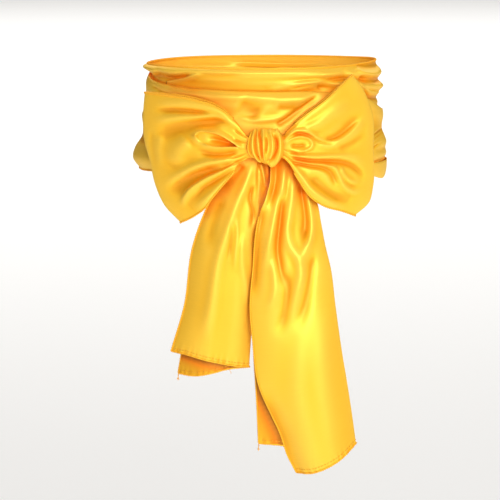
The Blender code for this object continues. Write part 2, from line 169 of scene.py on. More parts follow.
def smooth_line(points, at):
    """Places at fractions of the length of a smooth line through the points."""
    knots = np.array(points, dtype=float)
    along = np.concatenate([[0.0], np.cumsum(np.linalg.norm(np.diff(knots, axis=0), axis=1))])
    return smooth_between(along / along[-1], knots, at)


def smooth_round(angles, values, at):
    """Values at angles round the waist, smooth between the given ones and over the start."""
    values = np.asarray(values, dtype=float)
    turn = 2 * np.pi
    places = np.concatenate([angles[-2:] - turn, angles, angles[:2] + turn])
    return smooth_between(places, np.concatenate([values[-2:], values, values[:2]]), at)


def ease(t):
    """Nothing below nought, one above one, and a soft rise between them."""
    t = np.clip(t, 0.0, 1.0)
    return t * t * (3 - 2 * t)


def fold_shape(x, z, folds):
    """How high the folds stand at places seen from the front, and how far they lean over."""
    high, lean_x, lean_z = np.zeros_like(x), np.zeros_like(x), np.zeros_like(x)
    for fold in folds:
        line = smooth_line(fold.line, np.linspace(0.0, 1.0, FOLD_STEPS))
        reach = FOLD_REACH * max(fold.wide, fold.wide_end)
        low, top = line.min(axis=0) - reach, line.max(axis=0) + reach
        near = (x > low[0]) & (x < top[0]) & (z > low[1]) & (z < top[1])
        if not near.any():
            continue
        start, step = line[:-1], np.diff(line, axis=0)
        to_x, to_z = x[near][:, None] - start[:, 0], z[near][:, None] - start[:, 1]
        part = np.clip((to_x * step[:, 0] + to_z * step[:, 1]) / (step**2).sum(axis=1), 0.0, 1.0)
        away = np.hypot(to_x - part * step[:, 0], to_z - part * step[:, 1])
        nearest = np.argmin(away, axis=1)
        pick = (np.arange(len(nearest)), nearest)
        t = (nearest + part[pick]) / len(step)
        wide = fold.wide + (fold.wide_end - fold.wide) * t
        fade = ease(t / fold.rise) * ease((1 - t) / fold.fall)
        bump = fold.high * fade * np.exp(-(away[pick] / wide)**2)
        length = np.hypot(step[nearest, 0], step[nearest, 1])
        high[near] += bump
        lean_x[near] -= fold.lean * bump * step[nearest, 1] / length
        lean_z[near] += fold.lean * bump * step[nearest, 0] / length
    return high, lean_x, lean_z


def turn_surface(edges, levels, front_folds, back_folds):
    """Points of a turn round the waist, outwards from its edge heights and levels."""
    angle = np.linspace(0.0, 2 * np.pi, TURN_COLUMNS, endpoint=False)
    edge_angles = np.radians([row.angle for row in edges])
    top = smooth_round(edge_angles, [row.top for row in edges], angle)
    bottom = smooth_round(edge_angles, [row.bottom for row in edges], angle)
    table = np.array([row[1:] for row in levels]).T
    out_levels = smooth_round(LEVEL_ANGLES, table, angle)
    down = np.linspace(0.0, 1.0, TURN_ROWS)
    out = smooth_between(np.array([row.down for row in levels]), out_levels.T, down)
    z = top + (bottom - top) * down[:, None]
    flare = np.clip((FLARE_START - z) / FLARE_DROP, 0.0, 1.0)
    x = (WAIST_HALF_WIDTH + FLARE_WIDTH * flare + out) * np.cos(angle)
    front = ease(0.5 - SIDE_BLEND * np.sin(angle))
    front_high, _, front_lean = fold_shape(x, z, front_folds)
    back_high, _, back_lean = fold_shape(x, z, back_folds)
    out = out + front * front_high + (1.0 - front) * back_high
    z = z + front * front_lean + (1.0 - front) * back_lean
    return np.stack([(WAIST_HALF_WIDTH + FLARE_WIDTH * flare + out) * np.cos(angle),
                     (WAIST_HALF_DEPTH + FLARE_DEPTH * flare + out) * np.sin(angle), z], axis=-1)


def spread(values, steps, closed):
    """Values averaged with their neighbours on the grid."""
    padded = np.pad(values, ((steps, steps), (0, 0), (0, 0)), mode="edge")
    padded = np.pad(padded, ((0, 0), (steps, steps), (0, 0)), mode="wrap" if closed else "edge")
    count = 2 * steps + 1
    rows, columns = values.shape[:2]
    over_rows = sum(padded[k:k + rows] for k in range(count)) / count
    return sum(over_rows[:, k:k + columns] for k in range(count)) / count


def grid_normals(grid, closed):
    """Which way each point of the grid faces."""
    if closed:
        beside = np.roll(grid, -1, axis=1) - np.roll(grid, 1, axis=1)
    else:
        beside = np.gradient(grid, axis=1)
    across = np.cross(beside, np.gradient(grid, axis=0))
    return across / np.maximum(np.linalg.norm(across, axis=-1, keepdims=True), 1e-9)


def mark(mesh, name, values):
    """Values on the points of a mesh, for its finish to read."""
    attribute = mesh.attributes.new(name, "FLOAT", "POINT")
    attribute.data.foreach_set("value", values.astype(np.float32).ravel())


def cloth(name, grid, length, width, outwards, closed=False, painted_shade_scale=1.0):
    """A shell of satin through a grid of points, with its weave map and how hollow it lies, for its painted
    shade.
    """
    rows, columns = grid.shape[:2]
    row, column = np.meshgrid(np.arange(rows - 1), np.arange(columns if closed else columns - 1),
                              indexing="ij")
    beside = (column + 1) % columns
    corners = np.stack([row * columns + column, row * columns + beside,
                        (row + 1) * columns + beside, (row + 1) * columns + column], axis=-1)
    corners = corners.reshape(-1, 4)
    weave_u = np.stack([column, column + 1, column + 1, column], axis=-1) / columns * length * MM
    weave_v = np.stack([row, row, row + 1, row + 1], axis=-1) / rows * width * MM
    if outwards < 0:
        corners, weave_u, weave_v = corners[:, ::-1], weave_u[..., ::-1], weave_v[..., ::-1]
    mesh = bpy.data.meshes.new(name)
    mesh.from_pydata((grid.reshape(-1, 3) * MM).tolist(), [], corners.tolist())
    weave = mesh.uv_layers.new(name="weave")
    weave.data.foreach_set("uv", np.stack([weave_u, weave_v], axis=-1).astype(np.float32).ravel())
    normal = grid_normals(grid, closed) * outwards
    hollow = sum(size.share * ((spread(grid, size.points, closed) - grid) * normal).sum(axis=-1) / size.deep
                 for size in HOLLOW_SIZES)
    # Stored for the painted shade in the hollows and the painted highlight on the ridges.
    mark(mesh, "hollow", np.tanh(painted_shade_scale * hollow))
    mesh.shade_smooth()
    mesh.materials.append(satin)
    mesh.materials.append(satin_inside)
    piece = linked(name, mesh)
    shell = piece.modifiers.new("shell", "SOLIDIFY")
    shell.thickness = SHELL * MM
    shell.offset = -1.0
    shell.material_offset = 1
    stretches[name] = Stretch(piece, grid, closed, outwards)
    return piece


ToneRow = namedtuple("ToneRow", "place colour")
ShadeRow = namedtuple("ShadeRow", "start end most colour")
SATIN_PAINTED_LIGHT_TONES = [             # painted highlight on the ridges to painted shade in the hollows
    ToneRow(0.0, (1.0, 0.595, 0.052, 1.0)),
    ToneRow(0.40, (1.0, 0.55, 0.028, 1.0)),
    ToneRow(0.60, (1.0, 0.52, 0.018, 1.0)),
    ToneRow(1.0, (0.80, 0.32, 0.001, 1.0)),
]
SATIN_PAINTED_SHADES = [            # painted bounce light of deep orange between layers that lie close, and painted shade of brown deep inside
    ShadeRow(0.06, 0.55, 0.85, (0.95, 0.22, 0.0, 1.0)),
    ShadeRow(0.50, 1.0, 1.0, (0.36, 0.12, 0.0, 1.0)),
]
SATIN_SURFACE = {
    "Roughness": 0.50,
    "Metallic": 0.32,
    "Anisotropic": 0.45,
    "Specular IOR Level": 0.7,
    "Specular Tint": (1.0, 0.92, 0.62, 1.0),
    "Sheen Weight": 0.06,
    "Sheen Roughness": 0.4,
    "Sheen Tint": (1.0, 0.75, 0.1, 1.0),
}
STREAK_STRETCH = (60.0, 1400.0, 1.0)    # noise to a metre along the weave and across it
STREAK_STRENGTH = 0.10
WEAVE_SCALE = 900.0
WEAVE_WAVER = 0.6
WEAVE_RELIEF = 0.10
WEAVE_DEPTH = 0.0001


def add_node(tree, kind, inputs=None, **settings):
    """A new node with its settings and its inputs."""
    made = tree.nodes.new(kind)
    for key, value in settings.items():
        setattr(made, key, value)
    fill(made, inputs or {})
    return made


def toned(tree, share, tones):
    """The colour at a share of the way through a row of tones."""
    made = add_node(tree, "ShaderNodeValToRGB", {"Fac": share})
    stops = made.color_ramp.elements
    stops[0].color, stops[-1].color = tones[0].colour, tones[-1].colour
    for tone in tones[1:-1]:
        stops.new(tone.place).color = tone.colour
    return made.outputs["Color"]


def mixed(tree, share, under, over, blend_type="MIX"):
    """One colour over another."""
    made = add_node(tree, "ShaderNodeMix", data_type="RGBA", blend_type=blend_type)
    fill(made, {"Factor": share, 6: under, 7: over})
    return made.outputs[2]


def satin_with_painted_light(name, shade_name):
    """Bright yellow satin with its fine weave, with a painted highlight on the ridges and painted shade in
    the hollows and between layers.
    """
    material = finish(name, SATIN_SURFACE)
    tree = material.node_tree
    hollow = add_node(tree, "ShaderNodeAttribute", attribute_name="hollow")
    share = add_node(tree, "ShaderNodeMapRange", {"Value": hollow.outputs["Fac"], "From Min": -1.0})
    # Painted highlight on the ridges, painted shade in the hollows.
    colour = toned(tree, share.outputs["Result"], SATIN_PAINTED_LIGHT_TONES)
    shade = add_node(tree, "ShaderNodeAttribute", attribute_name=shade_name)
    # Painted bounce light of deep orange, then painted shade of brown, where layers close in.
    for row in SATIN_PAINTED_SHADES:
        depth = add_node(tree, "ShaderNodeMapRange", {"Value": shade.outputs["Fac"], "From Min": row.start,
                                                      "From Max": row.end, "To Max": row.most})
        colour = mixed(tree, depth.outputs["Result"], colour, row.colour)
    weave_map = add_node(tree, "ShaderNodeUVMap", uv_map="weave")
    scaled = add_node(tree, "ShaderNodeMapping",
                      {"Vector": weave_map.outputs["UV"], "Scale": STREAK_STRETCH})
    threads = add_node(tree, "ShaderNodeTexNoise",
                       {"Vector": scaled.outputs["Vector"], "Scale": 1.0, "Detail": 2.0})
    colour = mixed(tree, STREAK_STRENGTH, colour, threads.outputs["Fac"], "MULTIPLY")
    fine = add_node(tree, "ShaderNodeTexWave",
                    {"Vector": weave_map.outputs["UV"], "Scale": WEAVE_SCALE, "Distortion": WEAVE_WAVER},
                    wave_type="BANDS", bands_direction="DIAGONAL")
    relief = add_node(tree, "ShaderNodeBump", {"Height": fine.outputs["Fac"], "Strength": WEAVE_RELIEF,
                                               "Distance": WEAVE_DEPTH})
    tangent = add_node(tree, "ShaderNodeTangent", direction_type="UV_MAP", uv_map="weave")
    fill(tree.nodes["Principled BSDF"], {"Base Color": colour, "Normal": relief.outputs["Normal"],
                                         "Tangent": tangent.outputs["Tangent"]})
    return material


satin = satin_with_painted_light("yellow_satin", "shade_outside")
satin_inside = satin_with_painted_light("yellow_satin_inside", "shade_inside")
HEM_RADIUS = 0.85
HEM_SIDES = 8
TUBE_STEP = 1.0             # spacing of a tube's rings and sides on its weave map
TUBE_UP = (0.3, 0.2, 1.0)   # the sides start square to this way, along which no path begins
HemPath = namedtuple("HemPath", "points closed")


def tube(name, paths, radius, sides, material):
    """Round tubes along paths in millimetres, as one mesh."""
    around = np.linspace(0.0, 2 * np.pi, sides, endpoint=False)
    places, faces = [], []
    for path in paths:
        points = np.asarray(path.points)
        if path.closed:
            ahead = np.roll(points, -1, axis=0) - np.roll(points, 1, axis=0)
        else:
            ahead = np.gradient(points, axis=0)
        ahead /= np.linalg.norm(ahead, axis=1, keepdims=True)
        side = np.cross(ahead[0], TUBE_UP)
        first = len(places) * sides
        for point, along in zip(points, ahead):
            side = side - along * side.dot(along)
            side /= np.linalg.norm(side)
            other = np.cross(along, side)
            places.append(point + radius * (np.outer(np.cos(around), side) + np.outer(np.sin(around), other)))
        count = len(points)
        for ring in range(count if path.closed else count - 1):
            here, there = first + ring * sides, first + (ring + 1) % count * sides
            faces += [(here + k, here + (k + 1) % sides, there + (k + 1) % sides, there + k)
                      for k in range(sides)]
        if not path.closed:
            faces.append(tuple(first + k for k in reversed(range(sides))))
            faces.append(tuple(first + (count - 1) * sides + k for k in range(sides)))
    mesh = bpy.data.meshes.new(name)
    places = np.concatenate(places)
    mesh.from_pydata((places * MM).tolist(), [], faces)
    weave = mesh.uv_layers.new(name="weave")
    corner = np.array([index for face in faces for index in face])
    weave_places = np.stack([corner // sides * TUBE_STEP, corner % sides * TUBE_STEP], axis=-1) * MM
    weave.data.foreach_set("uv", weave_places.astype(np.float32).ravel())
    mesh.shade_smooth()
    mesh.materials.append(material)
    return linked(name, mesh)


STITCH_SPACING = 2.4
STITCH_RADIUS = 1.15
STITCH_POINTS = 9
THREAD_RADIUS = 0.20
THREAD_SIDES = 4
STITCH_LEAN = 0.42          # how far a stitch leans along the hem, in radians
STITCH_UNEVEN = 0.16
THREAD_TONES = [ToneRow(0.0, (0.62, 0.23, 0.002, 1.0)), ToneRow(1.0, (0.95, 0.46, 0.012, 1.0))]


def thread_finish():
    """Spun yellow sewing thread, duller than the satin."""
    material = finish("yellow_thread", {"Roughness": 0.62})
    tree = material.node_tree
    place = add_node(tree, "ShaderNodeTexCoord")
    fibre = add_node(tree, "ShaderNodeTexNoise", {"Vector": place.outputs["Object"], "Scale": 2200.0})
    fill(tree.nodes["Principled BSDF"], {"Base Color": toned(tree, fibre.outputs["Fac"], THREAD_TONES)})
    return material


thread = thread_finish()


def stitch_tree():
    """Nodes that set leaning loops of thread along the edges of a mesh."""
    tree = bpy.data.node_groups.new("overlock", "GeometryNodeTree")
    face = tree.interface
    face.new_socket("Geometry", in_out="INPUT", socket_type="NodeSocketGeometry")
    for name, value in (("Spacing", STITCH_SPACING * MM), ("Radius", STITCH_RADIUS * MM),
                        ("Thread", THREAD_RADIUS * MM), ("Lean", STITCH_LEAN), ("Uneven", STITCH_UNEVEN)):
        face.new_socket(name, in_out="INPUT", socket_type="NodeSocketFloat").default_value = value
    face.new_socket("Seed", in_out="INPUT", socket_type="NodeSocketInt").default_value = 7
    face.new_socket("Geometry", in_out="OUTPUT", socket_type="NodeSocketGeometry")

    entry = add_node(tree, "NodeGroupInput").outputs
    line = add_node(tree, "GeometryNodeMeshToCurve", {"Mesh": entry["Geometry"]})
    places = add_node(tree, "GeometryNodeCurveToPoints",
                      {"Curve": line.outputs["Curve"], "Length": entry["Spacing"]}, mode="LENGTH")
    facing = add_node(tree, "FunctionNodeAlignRotationToVector", {"Vector": places.outputs["Tangent"]},
                      axis="Z")
    leans = {0: entry["Lean"], 1: entry["Uneven"]}
    least = add_node(tree, "ShaderNodeMath", leans, operation="SUBTRACT")
    most = add_node(tree, "ShaderNodeMath", leans, operation="ADD")
    lean = add_node(tree, "FunctionNodeRandomValue",
                    {2: least.outputs[0], 3: most.outputs[0], "Seed": entry["Seed"]}, data_type="FLOAT")
    tilt = add_node(tree, "ShaderNodeCombineXYZ", {"X": lean.outputs[1]})
    leaning = add_node(tree, "FunctionNodeRotateRotation",
                       {"Rotation": facing.outputs["Rotation"], "Rotate By": tilt.outputs["Vector"]},
                       rotation_space="LOCAL")
    loop = add_node(tree, "GeometryNodeCurvePrimitiveCircle",
                    {"Resolution": STITCH_POINTS, "Radius": entry["Radius"]})
    section = add_node(tree, "GeometryNodeCurvePrimitiveCircle",
                       {"Resolution": THREAD_SIDES, "Radius": entry["Thread"]})
    strand = add_node(tree, "GeometryNodeCurveToMesh",
                      {"Curve": loop.outputs["Curve"], "Profile Curve": section.outputs["Curve"]})
    copies = add_node(tree, "GeometryNodeInstanceOnPoints",
                      {"Points": places.outputs["Points"], "Instance": strand.outputs["Mesh"],
                       "Rotation": leaning.outputs["Rotation"]})
    solid = add_node(tree, "GeometryNodeRealizeInstances", {"Geometry": copies.outputs["Instances"]})
    smooth = add_node(tree, "GeometryNodeSetShadeSmooth", {"Geometry": solid.outputs["Geometry"]})
    painted = add_node(tree, "GeometryNodeSetMaterial",
                       {"Geometry": smooth.outputs["Geometry"], "Material": thread})
    add_node(tree, "NodeGroupOutput", {"Geometry": painted.outputs["Geometry"]})
    return tree


overlock = stitch_tree()


def stitched(name, paths, seed):
    """Overlock stitches along paths in millimetres, as one plain mesh."""
    places, edges = [], []
    for path in paths:
        first, count = len(places), len(path.points)
        places += (np.asarray(path.points) * MM).tolist()
        edges += [(first + k, first + (k + 1) % count) for k in range(count if path.closed else count - 1)]
    line_mesh = bpy.data.meshes.new(name + "_line")
    line_mesh.from_pydata(places, edges, [])
    line = linked(name + "_line", line_mesh)
    sewing = line.modifiers.new("overlock", "NODES")
    sewing.node_group = overlock
    seed_socket = next(item for item in overlock.interface.items_tree
                       if item.name == "Seed" and item.in_out == "INPUT")
    sewing[seed_socket.identifier] = seed
    bpy.context.view_layer.update()
    seen = line.evaluated_get(bpy.context.evaluated_depsgraph_get())
    plain = bpy.data.meshes.new_from_object(seen)
    plain.name = name
    bpy.data.objects.remove(line)
    return linked(name, plain)


def hemmed(name, paths, seed):
    """The rolled hem along a stretch's edges, and the stitches over it."""
    sewn = [tube(name + "_hem", paths, HEM_RADIUS, HEM_SIDES, satin),
            stitched(name + "_stitches", paths, seed)]
    for piece in sewn:
        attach(piece, "root")
    return sewn


UPPER_EDGES = [
    #       angle  top    bottom
    EdgeRow(0,     57.0,  -2.0),
    EdgeRow(45,    55.0,   2.0),
    EdgeRow(90,    54.0,  12.0),
    EdgeRow(135,   54.0,  24.0),
    EdgeRow(180,   53.0,  36.0),
    EdgeRow(215,   54.0,  24.0),
    EdgeRow(240,   54.0,  22.0),
    EdgeRow(270,   54.0,  21.0),
    EdgeRow(300,   54.5,  20.0),
    EdgeRow(330,   56.0,  10.0),
]
UPPER_LEVELS = [
    #        down  right back_right back back_left left  front
    LevelRow(0.00,  5.5,  4.0,  4.5,  4.0,  6.5,  4.5),
    LevelRow(0.07,  7.0,  6.0,  6.5,  6.0,  9.5,  7.0),
    LevelRow(0.22, 12.0,  8.0,  7.5,  7.0, 11.5,  8.0),
    LevelRow(0.34,  8.5,  6.5,  5.5,  6.0,  8.0,  6.8),
    LevelRow(0.47, 14.0,  8.0,  7.0,  6.5,  4.5,  5.8),
    LevelRow(0.58,  8.5,  5.5,  5.0,  4.0,  2.8,  4.2),
    LevelRow(0.78,  8.0,  3.2,  2.4,  2.0,  1.8,  1.8),
    LevelRow(1.00,  6.5,  1.6,  1.2,  1.2,  1.2,  1.2),
]
UPPER_FRONT = [
    #    line                                             wide end  high  lean
    Fold([(-92, 52), (-40, 50.5), (20, 50.5), (80, 52)], 2.2, 2.2, 0.8),
    Fold([(-75, 47.5), (-50, 46), (-15, 47)], 3.5, 3.5, -1.5),
    Fold([(-100, 35), (-88, 38.5), (-76, 42), (-64, 47), (-58, 49)], 1.8, 2.6, 3.0, 0.6, 0.1, 0.3),
    Fold([(-114, 46), (-95, 42.5), (-80, 45), (-68, 49)], 4.0, 3.0, -4.6, 0.0, 0.1),
    Fold([(4, 33), (24, 35), (50, 40), (72, 43)], 3.0, 2.6, 1.5),
    Fold([(24, 31), (44, 34), (60, 36)], 1.8, 1.8, 0.9),
    Fold([(30, 33.5), (46, 37), (58, 38.5)], 1.4, 1.4, -0.8),
    Fold([(54, 34), (66, 37), (80, 42), (92, 51)], 4.0, 6.0, -2.8, 0.0, 0.15, 0.2),
    Fold([(60, 47), (80, 50), (94, 55)], 3.5, 3.5, 0.7),
    Fold([(97, 52), (105, 47.5), (114, 45), (123, 45)], 2.0, 2.4, 2.4, 0.0, 0.1, 0.1),
    Fold([(98, 56), (110, 52), (124, 50)], 3.5, 4.5, -2.2, 0.0, 0.1, 0.1),
    Fold([(100, 43), (112, 36), (124, 34)], 2.2, 3.0, -3.0, 0.0, 0.1, 0.1),
    Fold([(99, 38), (110, 27), (124, 22)], 1.6, 2.2, 2.2, 0.0, 0.1, 0.1),
    Fold([(102, 30), (112, 20), (124, 16)], 1.6, 2.0, -2.2, 0.0, 0.1, 0.1),
]
UPPER_BACK = [
    Fold([(-118, 46), (-60, 43), (-10, 41)], 3.0, 2.5, 2.5),
    Fold([(-110, 39), (-50, 35), (20, 33)], 2.5, 3.0, -2.0),
    Fold([(-40, 47), (20, 45), (90, 47)], 2.5, 3.0, 2.2),
    Fold([(10, 39), (60, 36), (118, 40)], 3.0, 2.5, 2.4),
    Fold([(30, 30), (80, 26), (118, 24)], 3.0, 3.5, -2.2),
]
upper_grid = turn_surface(UPPER_EDGES, UPPER_LEVELS, UPPER_FRONT, UPPER_BACK)
upper_turn = cloth("upper_turn", upper_grid, 640.0, 70.0, -1.0, closed=True)
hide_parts("turn_upper")
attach(upper_turn, "root")
hemmed("upper_turn", [HemPath(upper_grid[0], True)], seed=1)

# Lower turn
# The second turn, which lies over the first one: its upper edge is a rolled fold that shows as a
# soft line round the front, and its lower part widens over the hips.
LOWER_EDGES = [
    #       angle  top    bottom
    EdgeRow(0,      5.0, -47.0),
    EdgeRow(45,    12.0, -50.0),
    EdgeRow(90,    24.0, -52.0),
    EdgeRow(135,   36.0, -54.0),
    EdgeRow(180,   42.0, -57.0),
    EdgeRow(195,   38.0, -57.0),
    EdgeRow(215,   35.0, -55.0),
    EdgeRow(240,   32.5, -51.0),
    EdgeRow(270,   31.0, -49.0),
    EdgeRow(300,   30.0, -50.0),
    EdgeRow(330,   20.0, -49.0),
    EdgeRow(348,    8.0, -47.0),
]
LOWER_LEVELS = [
    #        down  right back_right back back_left left  front
    LevelRow(0.00, 13.5,  8.5,  6.0,  5.0,  5.6,  5.2),
    LevelRow(0.06, 13.6,  9.5,  8.0,  7.5,  8.0,  8.2),
    LevelRow(0.17, 12.8,  8.5,  9.0,  8.0,  8.6,  8.8),
    LevelRow(0.30, 10.5,  7.0,  6.5,  6.0,  7.5,  8.2),
    LevelRow(0.42, 10.0,  8.5,  8.5,  8.5, 12.0,  8.4),
    LevelRow(0.54, 11.5,  9.5,  8.0,  8.0,  9.5,  8.6),
    LevelRow(0.66, 12.5,  7.5,  6.0,  6.0,  8.5,  9.0),
    LevelRow(0.78, 10.5,  8.5,  7.5,  8.5, 14.0,  9.0),
    LevelRow(0.90, 10.5,  7.0,  6.5,  8.0, 14.5,  7.0),
    LevelRow(1.00,  7.0,  3.0,  3.0,  4.0,  6.0,  4.2),
]
LOWER_FRONT = [
    Fold([(-60, 26), (-20, 26), (20, 24), (56, 25)], 3.5, 4.0, 1.0),
    Fold([(-96, 35.5), (-78, 34), (-56, 33.5)], 1.8, 2.0, -1.7),
    Fold([(-116, 36), (-100, 32), (-76, 28), (-50, 26)], 2.6, 3.5, 1.5),
    Fold([(-119, 32), (-102, 26), (-70, 22), (-42, 15)], 1.6, 2.4, -2.0, 0.0, 0.1, 0.3),
    Fold([(-26, 21), (-13, 14), (-2, 4)], 11.0, 11.0, -2.4, 0.0, 0.3, 0.3),
    Fold([(14, 15), (27, 14), (40, 16)], 4.0, 4.0, -1.2),
    Fold([(10, 20), (30, 21), (52, 24)], 5.0, 5.0, 1.2),
    Fold([(-26, 5), (-8, 2), (10, 3), (30, 7)], 2.2, 2.2, 1.1),
    Fold([(14, -4), (28, 5), (46, 18), (62, 28)], 2.6, 3.0, -2.2, 0.0, 0.1, 0.2),
] + [Fold([(113, z), (120, z + 4), (130, z + 8)], 1.1, 1.3, -2.4, 0.0, 0.35, 0.55)
     for z in (-22, -26, -30, -34)]
LOWER_BACK = [
    Fold([(-122, 30), (-70, 22), (-10, 16)], 3.5, 3.0, 2.6),
    Fold([(-120, 12), (-60, 6), (0, 4)], 3.0, 4.0, -2.2),
    Fold([(-122, -8), (-60, -14), (10, -12)], 4.0, 3.0, 2.6),
    Fold([(-110, -30), (-40, -34), (40, -30)], 4.0, 3.5, -2.4),
    Fold([(0, 14), (60, 4), (120, -2)], 3.0, 4.0, 2.4),
    Fold([(10, -4), (70, -14), (122, -16)], 3.0, 3.5, -2.2),
    Fold([(20, -24), (80, -28), (124, -30)], 3.5, 3.0, 2.4),
]
lower_grid = turn_surface(LOWER_EDGES, LOWER_LEVELS, LOWER_FRONT, LOWER_BACK)
lower_turn = cloth("lower_turn", lower_grid, 660.0, 110.0, -1.0, closed=True)
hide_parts("turn_lower")
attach(lower_turn, "root")
hemmed("lower_turn", [HemPath(lower_grid[-1], True)], seed=2)

# Swag
# A stretch of the lower turn that has slipped down at the right side, hanging in a small open fold.
SWAG_START = -42.0          # degrees round the waist, from the right side
SWAG_END = 34.0
SWAG_TOP = -47.8
SWAG_EDGE_DROP = 4.0
SWAG_DROP = 20.0
SWAG_INNER = 2.0
SWAG_OUTER = 10.5
SWAG_FLARE = 0.8            # share of the waist's flare where it hangs
SWAG_ROUNDING = 0.8


def swag_surface(columns, rows):
    """Points of the hanging fold, from under the turn's edge down, round and up outside."""
    along, q = np.meshgrid(np.linspace(0.0, 1.0, columns), np.linspace(0.0, 1.0, rows))
    angle = np.radians(SWAG_START + (SWAG_END - SWAG_START) * along)
    drop = SWAG_EDGE_DROP + (SWAG_DROP - SWAG_EDGE_DROP) * np.sin(np.pi * along)
    out = SWAG_INNER + (SWAG_OUTER - SWAG_INNER) * (1.0 - np.cos(np.pi * q)) / 2
    z = SWAG_TOP - drop * np.sin(np.pi * q)**SWAG_ROUNDING
    half_width = WAIST_HALF_WIDTH + FLARE_WIDTH * SWAG_FLARE + out
    half_depth = WAIST_HALF_DEPTH + FLARE_DEPTH * SWAG_FLARE + out
    return np.stack([half_width * np.cos(angle), half_depth * np.sin(angle), z], axis=-1)


swag = cloth("side_fold", swag_surface(96, 38), 150.0, 50.0, 1.0)
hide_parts("side_swag")
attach(swag, "root")

# Bow loops
# Each loop is a stretch of the sash folded back on itself and drawn into the knot: a full, soft
# front layer, a rounded end and a back layer, with folds that run out from the knot.
KNOT_X = 3.5
KNOT_Y = -117.0
KNOT_Z = -22.0
LOOP_BEND = 46.0            # how far back a loop curves round the waist at its reach from the knot
LOOP_REACH = 120.0
LOOP_REACH_MOST = 1.2
LOOP_BEND_POWER = 1.6
LOOP_PLAIN_END = 0.25       # shares of its length, at its end and its mouth, where folds fade out
LOOP_PLAIN_MOUTH = 0.16
LOOP_MOUTH = 5.6            # half thickness where it is gathered, behind, in front and at its fullest
LOOP_FRONT_MOUTH = 9.5
LOOP_FULL = 17.0
LOOP_LIFT = 6.0             # how far its lower edge stands forward
LOOP_LIFT_LENGTH = 0.8
LOOP_SWELL = 0.7
LOOP_LOWER_PINCH = 0.7      # how much thinner it is along its edges by the knot
LOOP_UPPER_PINCH = 0.25
LOOP_PINCH_FADE = 0.8
EDGE_POWER = 3              # how close to the edges the pinch and the lift stay
END_ROUNDING = 0.6
END_SPREAD = 1.2


def panel(start, end, first, last, s, v):
    """A flat panel between four lines: start and end run across it, first and last along it."""
    s_column, v_row = s[..., None], v[..., None]
    across_start, across_end = smooth_line(start, v), smooth_line(end, v)
    along_first, along_last = smooth_line(first, s), smooth_line(last, s)
    corners = ((1 - s_column) * (1 - v_row) * np.array(first[0], dtype=float)
               + (1 - s_column) * v_row * np.array(last[0], dtype=float)
               + s_column * (1 - v_row) * np.array(first[-1], dtype=float)
               + s_column * v_row * np.array(last[-1], dtype=float))
    return ((1 - s_column) * across_start + s_column * across_end
            + (1 - v_row) * along_first + v_row * along_last - corners)


def loop_depth(x):
    """How far forward the middle of a loop lies at a place across the bow."""
    reach = np.clip(np.abs(x - KNOT_X) / LOOP_REACH, 0.0, LOOP_REACH_MOST)
    return KNOT_Y + LOOP_BEND * reach**LOOP_BEND_POWER


def loop_surface(mouth, end, upper_edge, lower_edge, front_folds, back_folds, columns, rows):
    """Points of a bow loop: out along its front layer, round its end, back along its back layer."""
    t, v = np.meshgrid(np.linspace(-1.0, 1.0, columns), np.linspace(0.0, 1.0, rows))
    s = 1.0 - np.abs(t)**END_SPREAD
    flat = panel(mouth, end, upper_edge, lower_edge, s, v)
    x, z = flat[..., 0], flat[..., 1]
    swell = np.sin(np.pi / 2 * np.clip(s / LOOP_SWELL, 0.0, 1.0))**2
    pinch = (1.0 - LOOP_LOWER_PINCH * (1.0 - s)**LOOP_PINCH_FADE * v**EDGE_POWER
             - LOOP_UPPER_PINCH * (1.0 - s) * (1.0 - v)**EDGE_POWER)
    is_front = t < 0
    gathered = np.where(is_front, LOOP_FRONT_MOUTH, LOOP_MOUTH)
    half = (gathered + (LOOP_FULL - gathered) * swell) * pinch * np.abs(t)**END_ROUNDING
    clear = np.clip(np.abs(t) / LOOP_PLAIN_END, 0.0, 1.0) * np.clip(s / LOOP_PLAIN_MOUTH, 0.1, 1.0)
    front_shape, back_shape = fold_shape(x, z, front_folds), fold_shape(x, z, back_folds)
    high, lean_x, lean_z = (clear * np.where(is_front, a, b) for a, b in zip(front_shape, back_shape))
    lift = LOOP_LIFT * v**EDGE_POWER * np.sin(np.pi * np.clip(s / LOOP_LIFT_LENGTH, 0.0, 1.0))
    y = loop_depth(x) - lift - np.where(is_front, 1.0, -1.0) * (half + high)
    return np.stack([x + lean_x, y, z + lean_z], axis=-1)


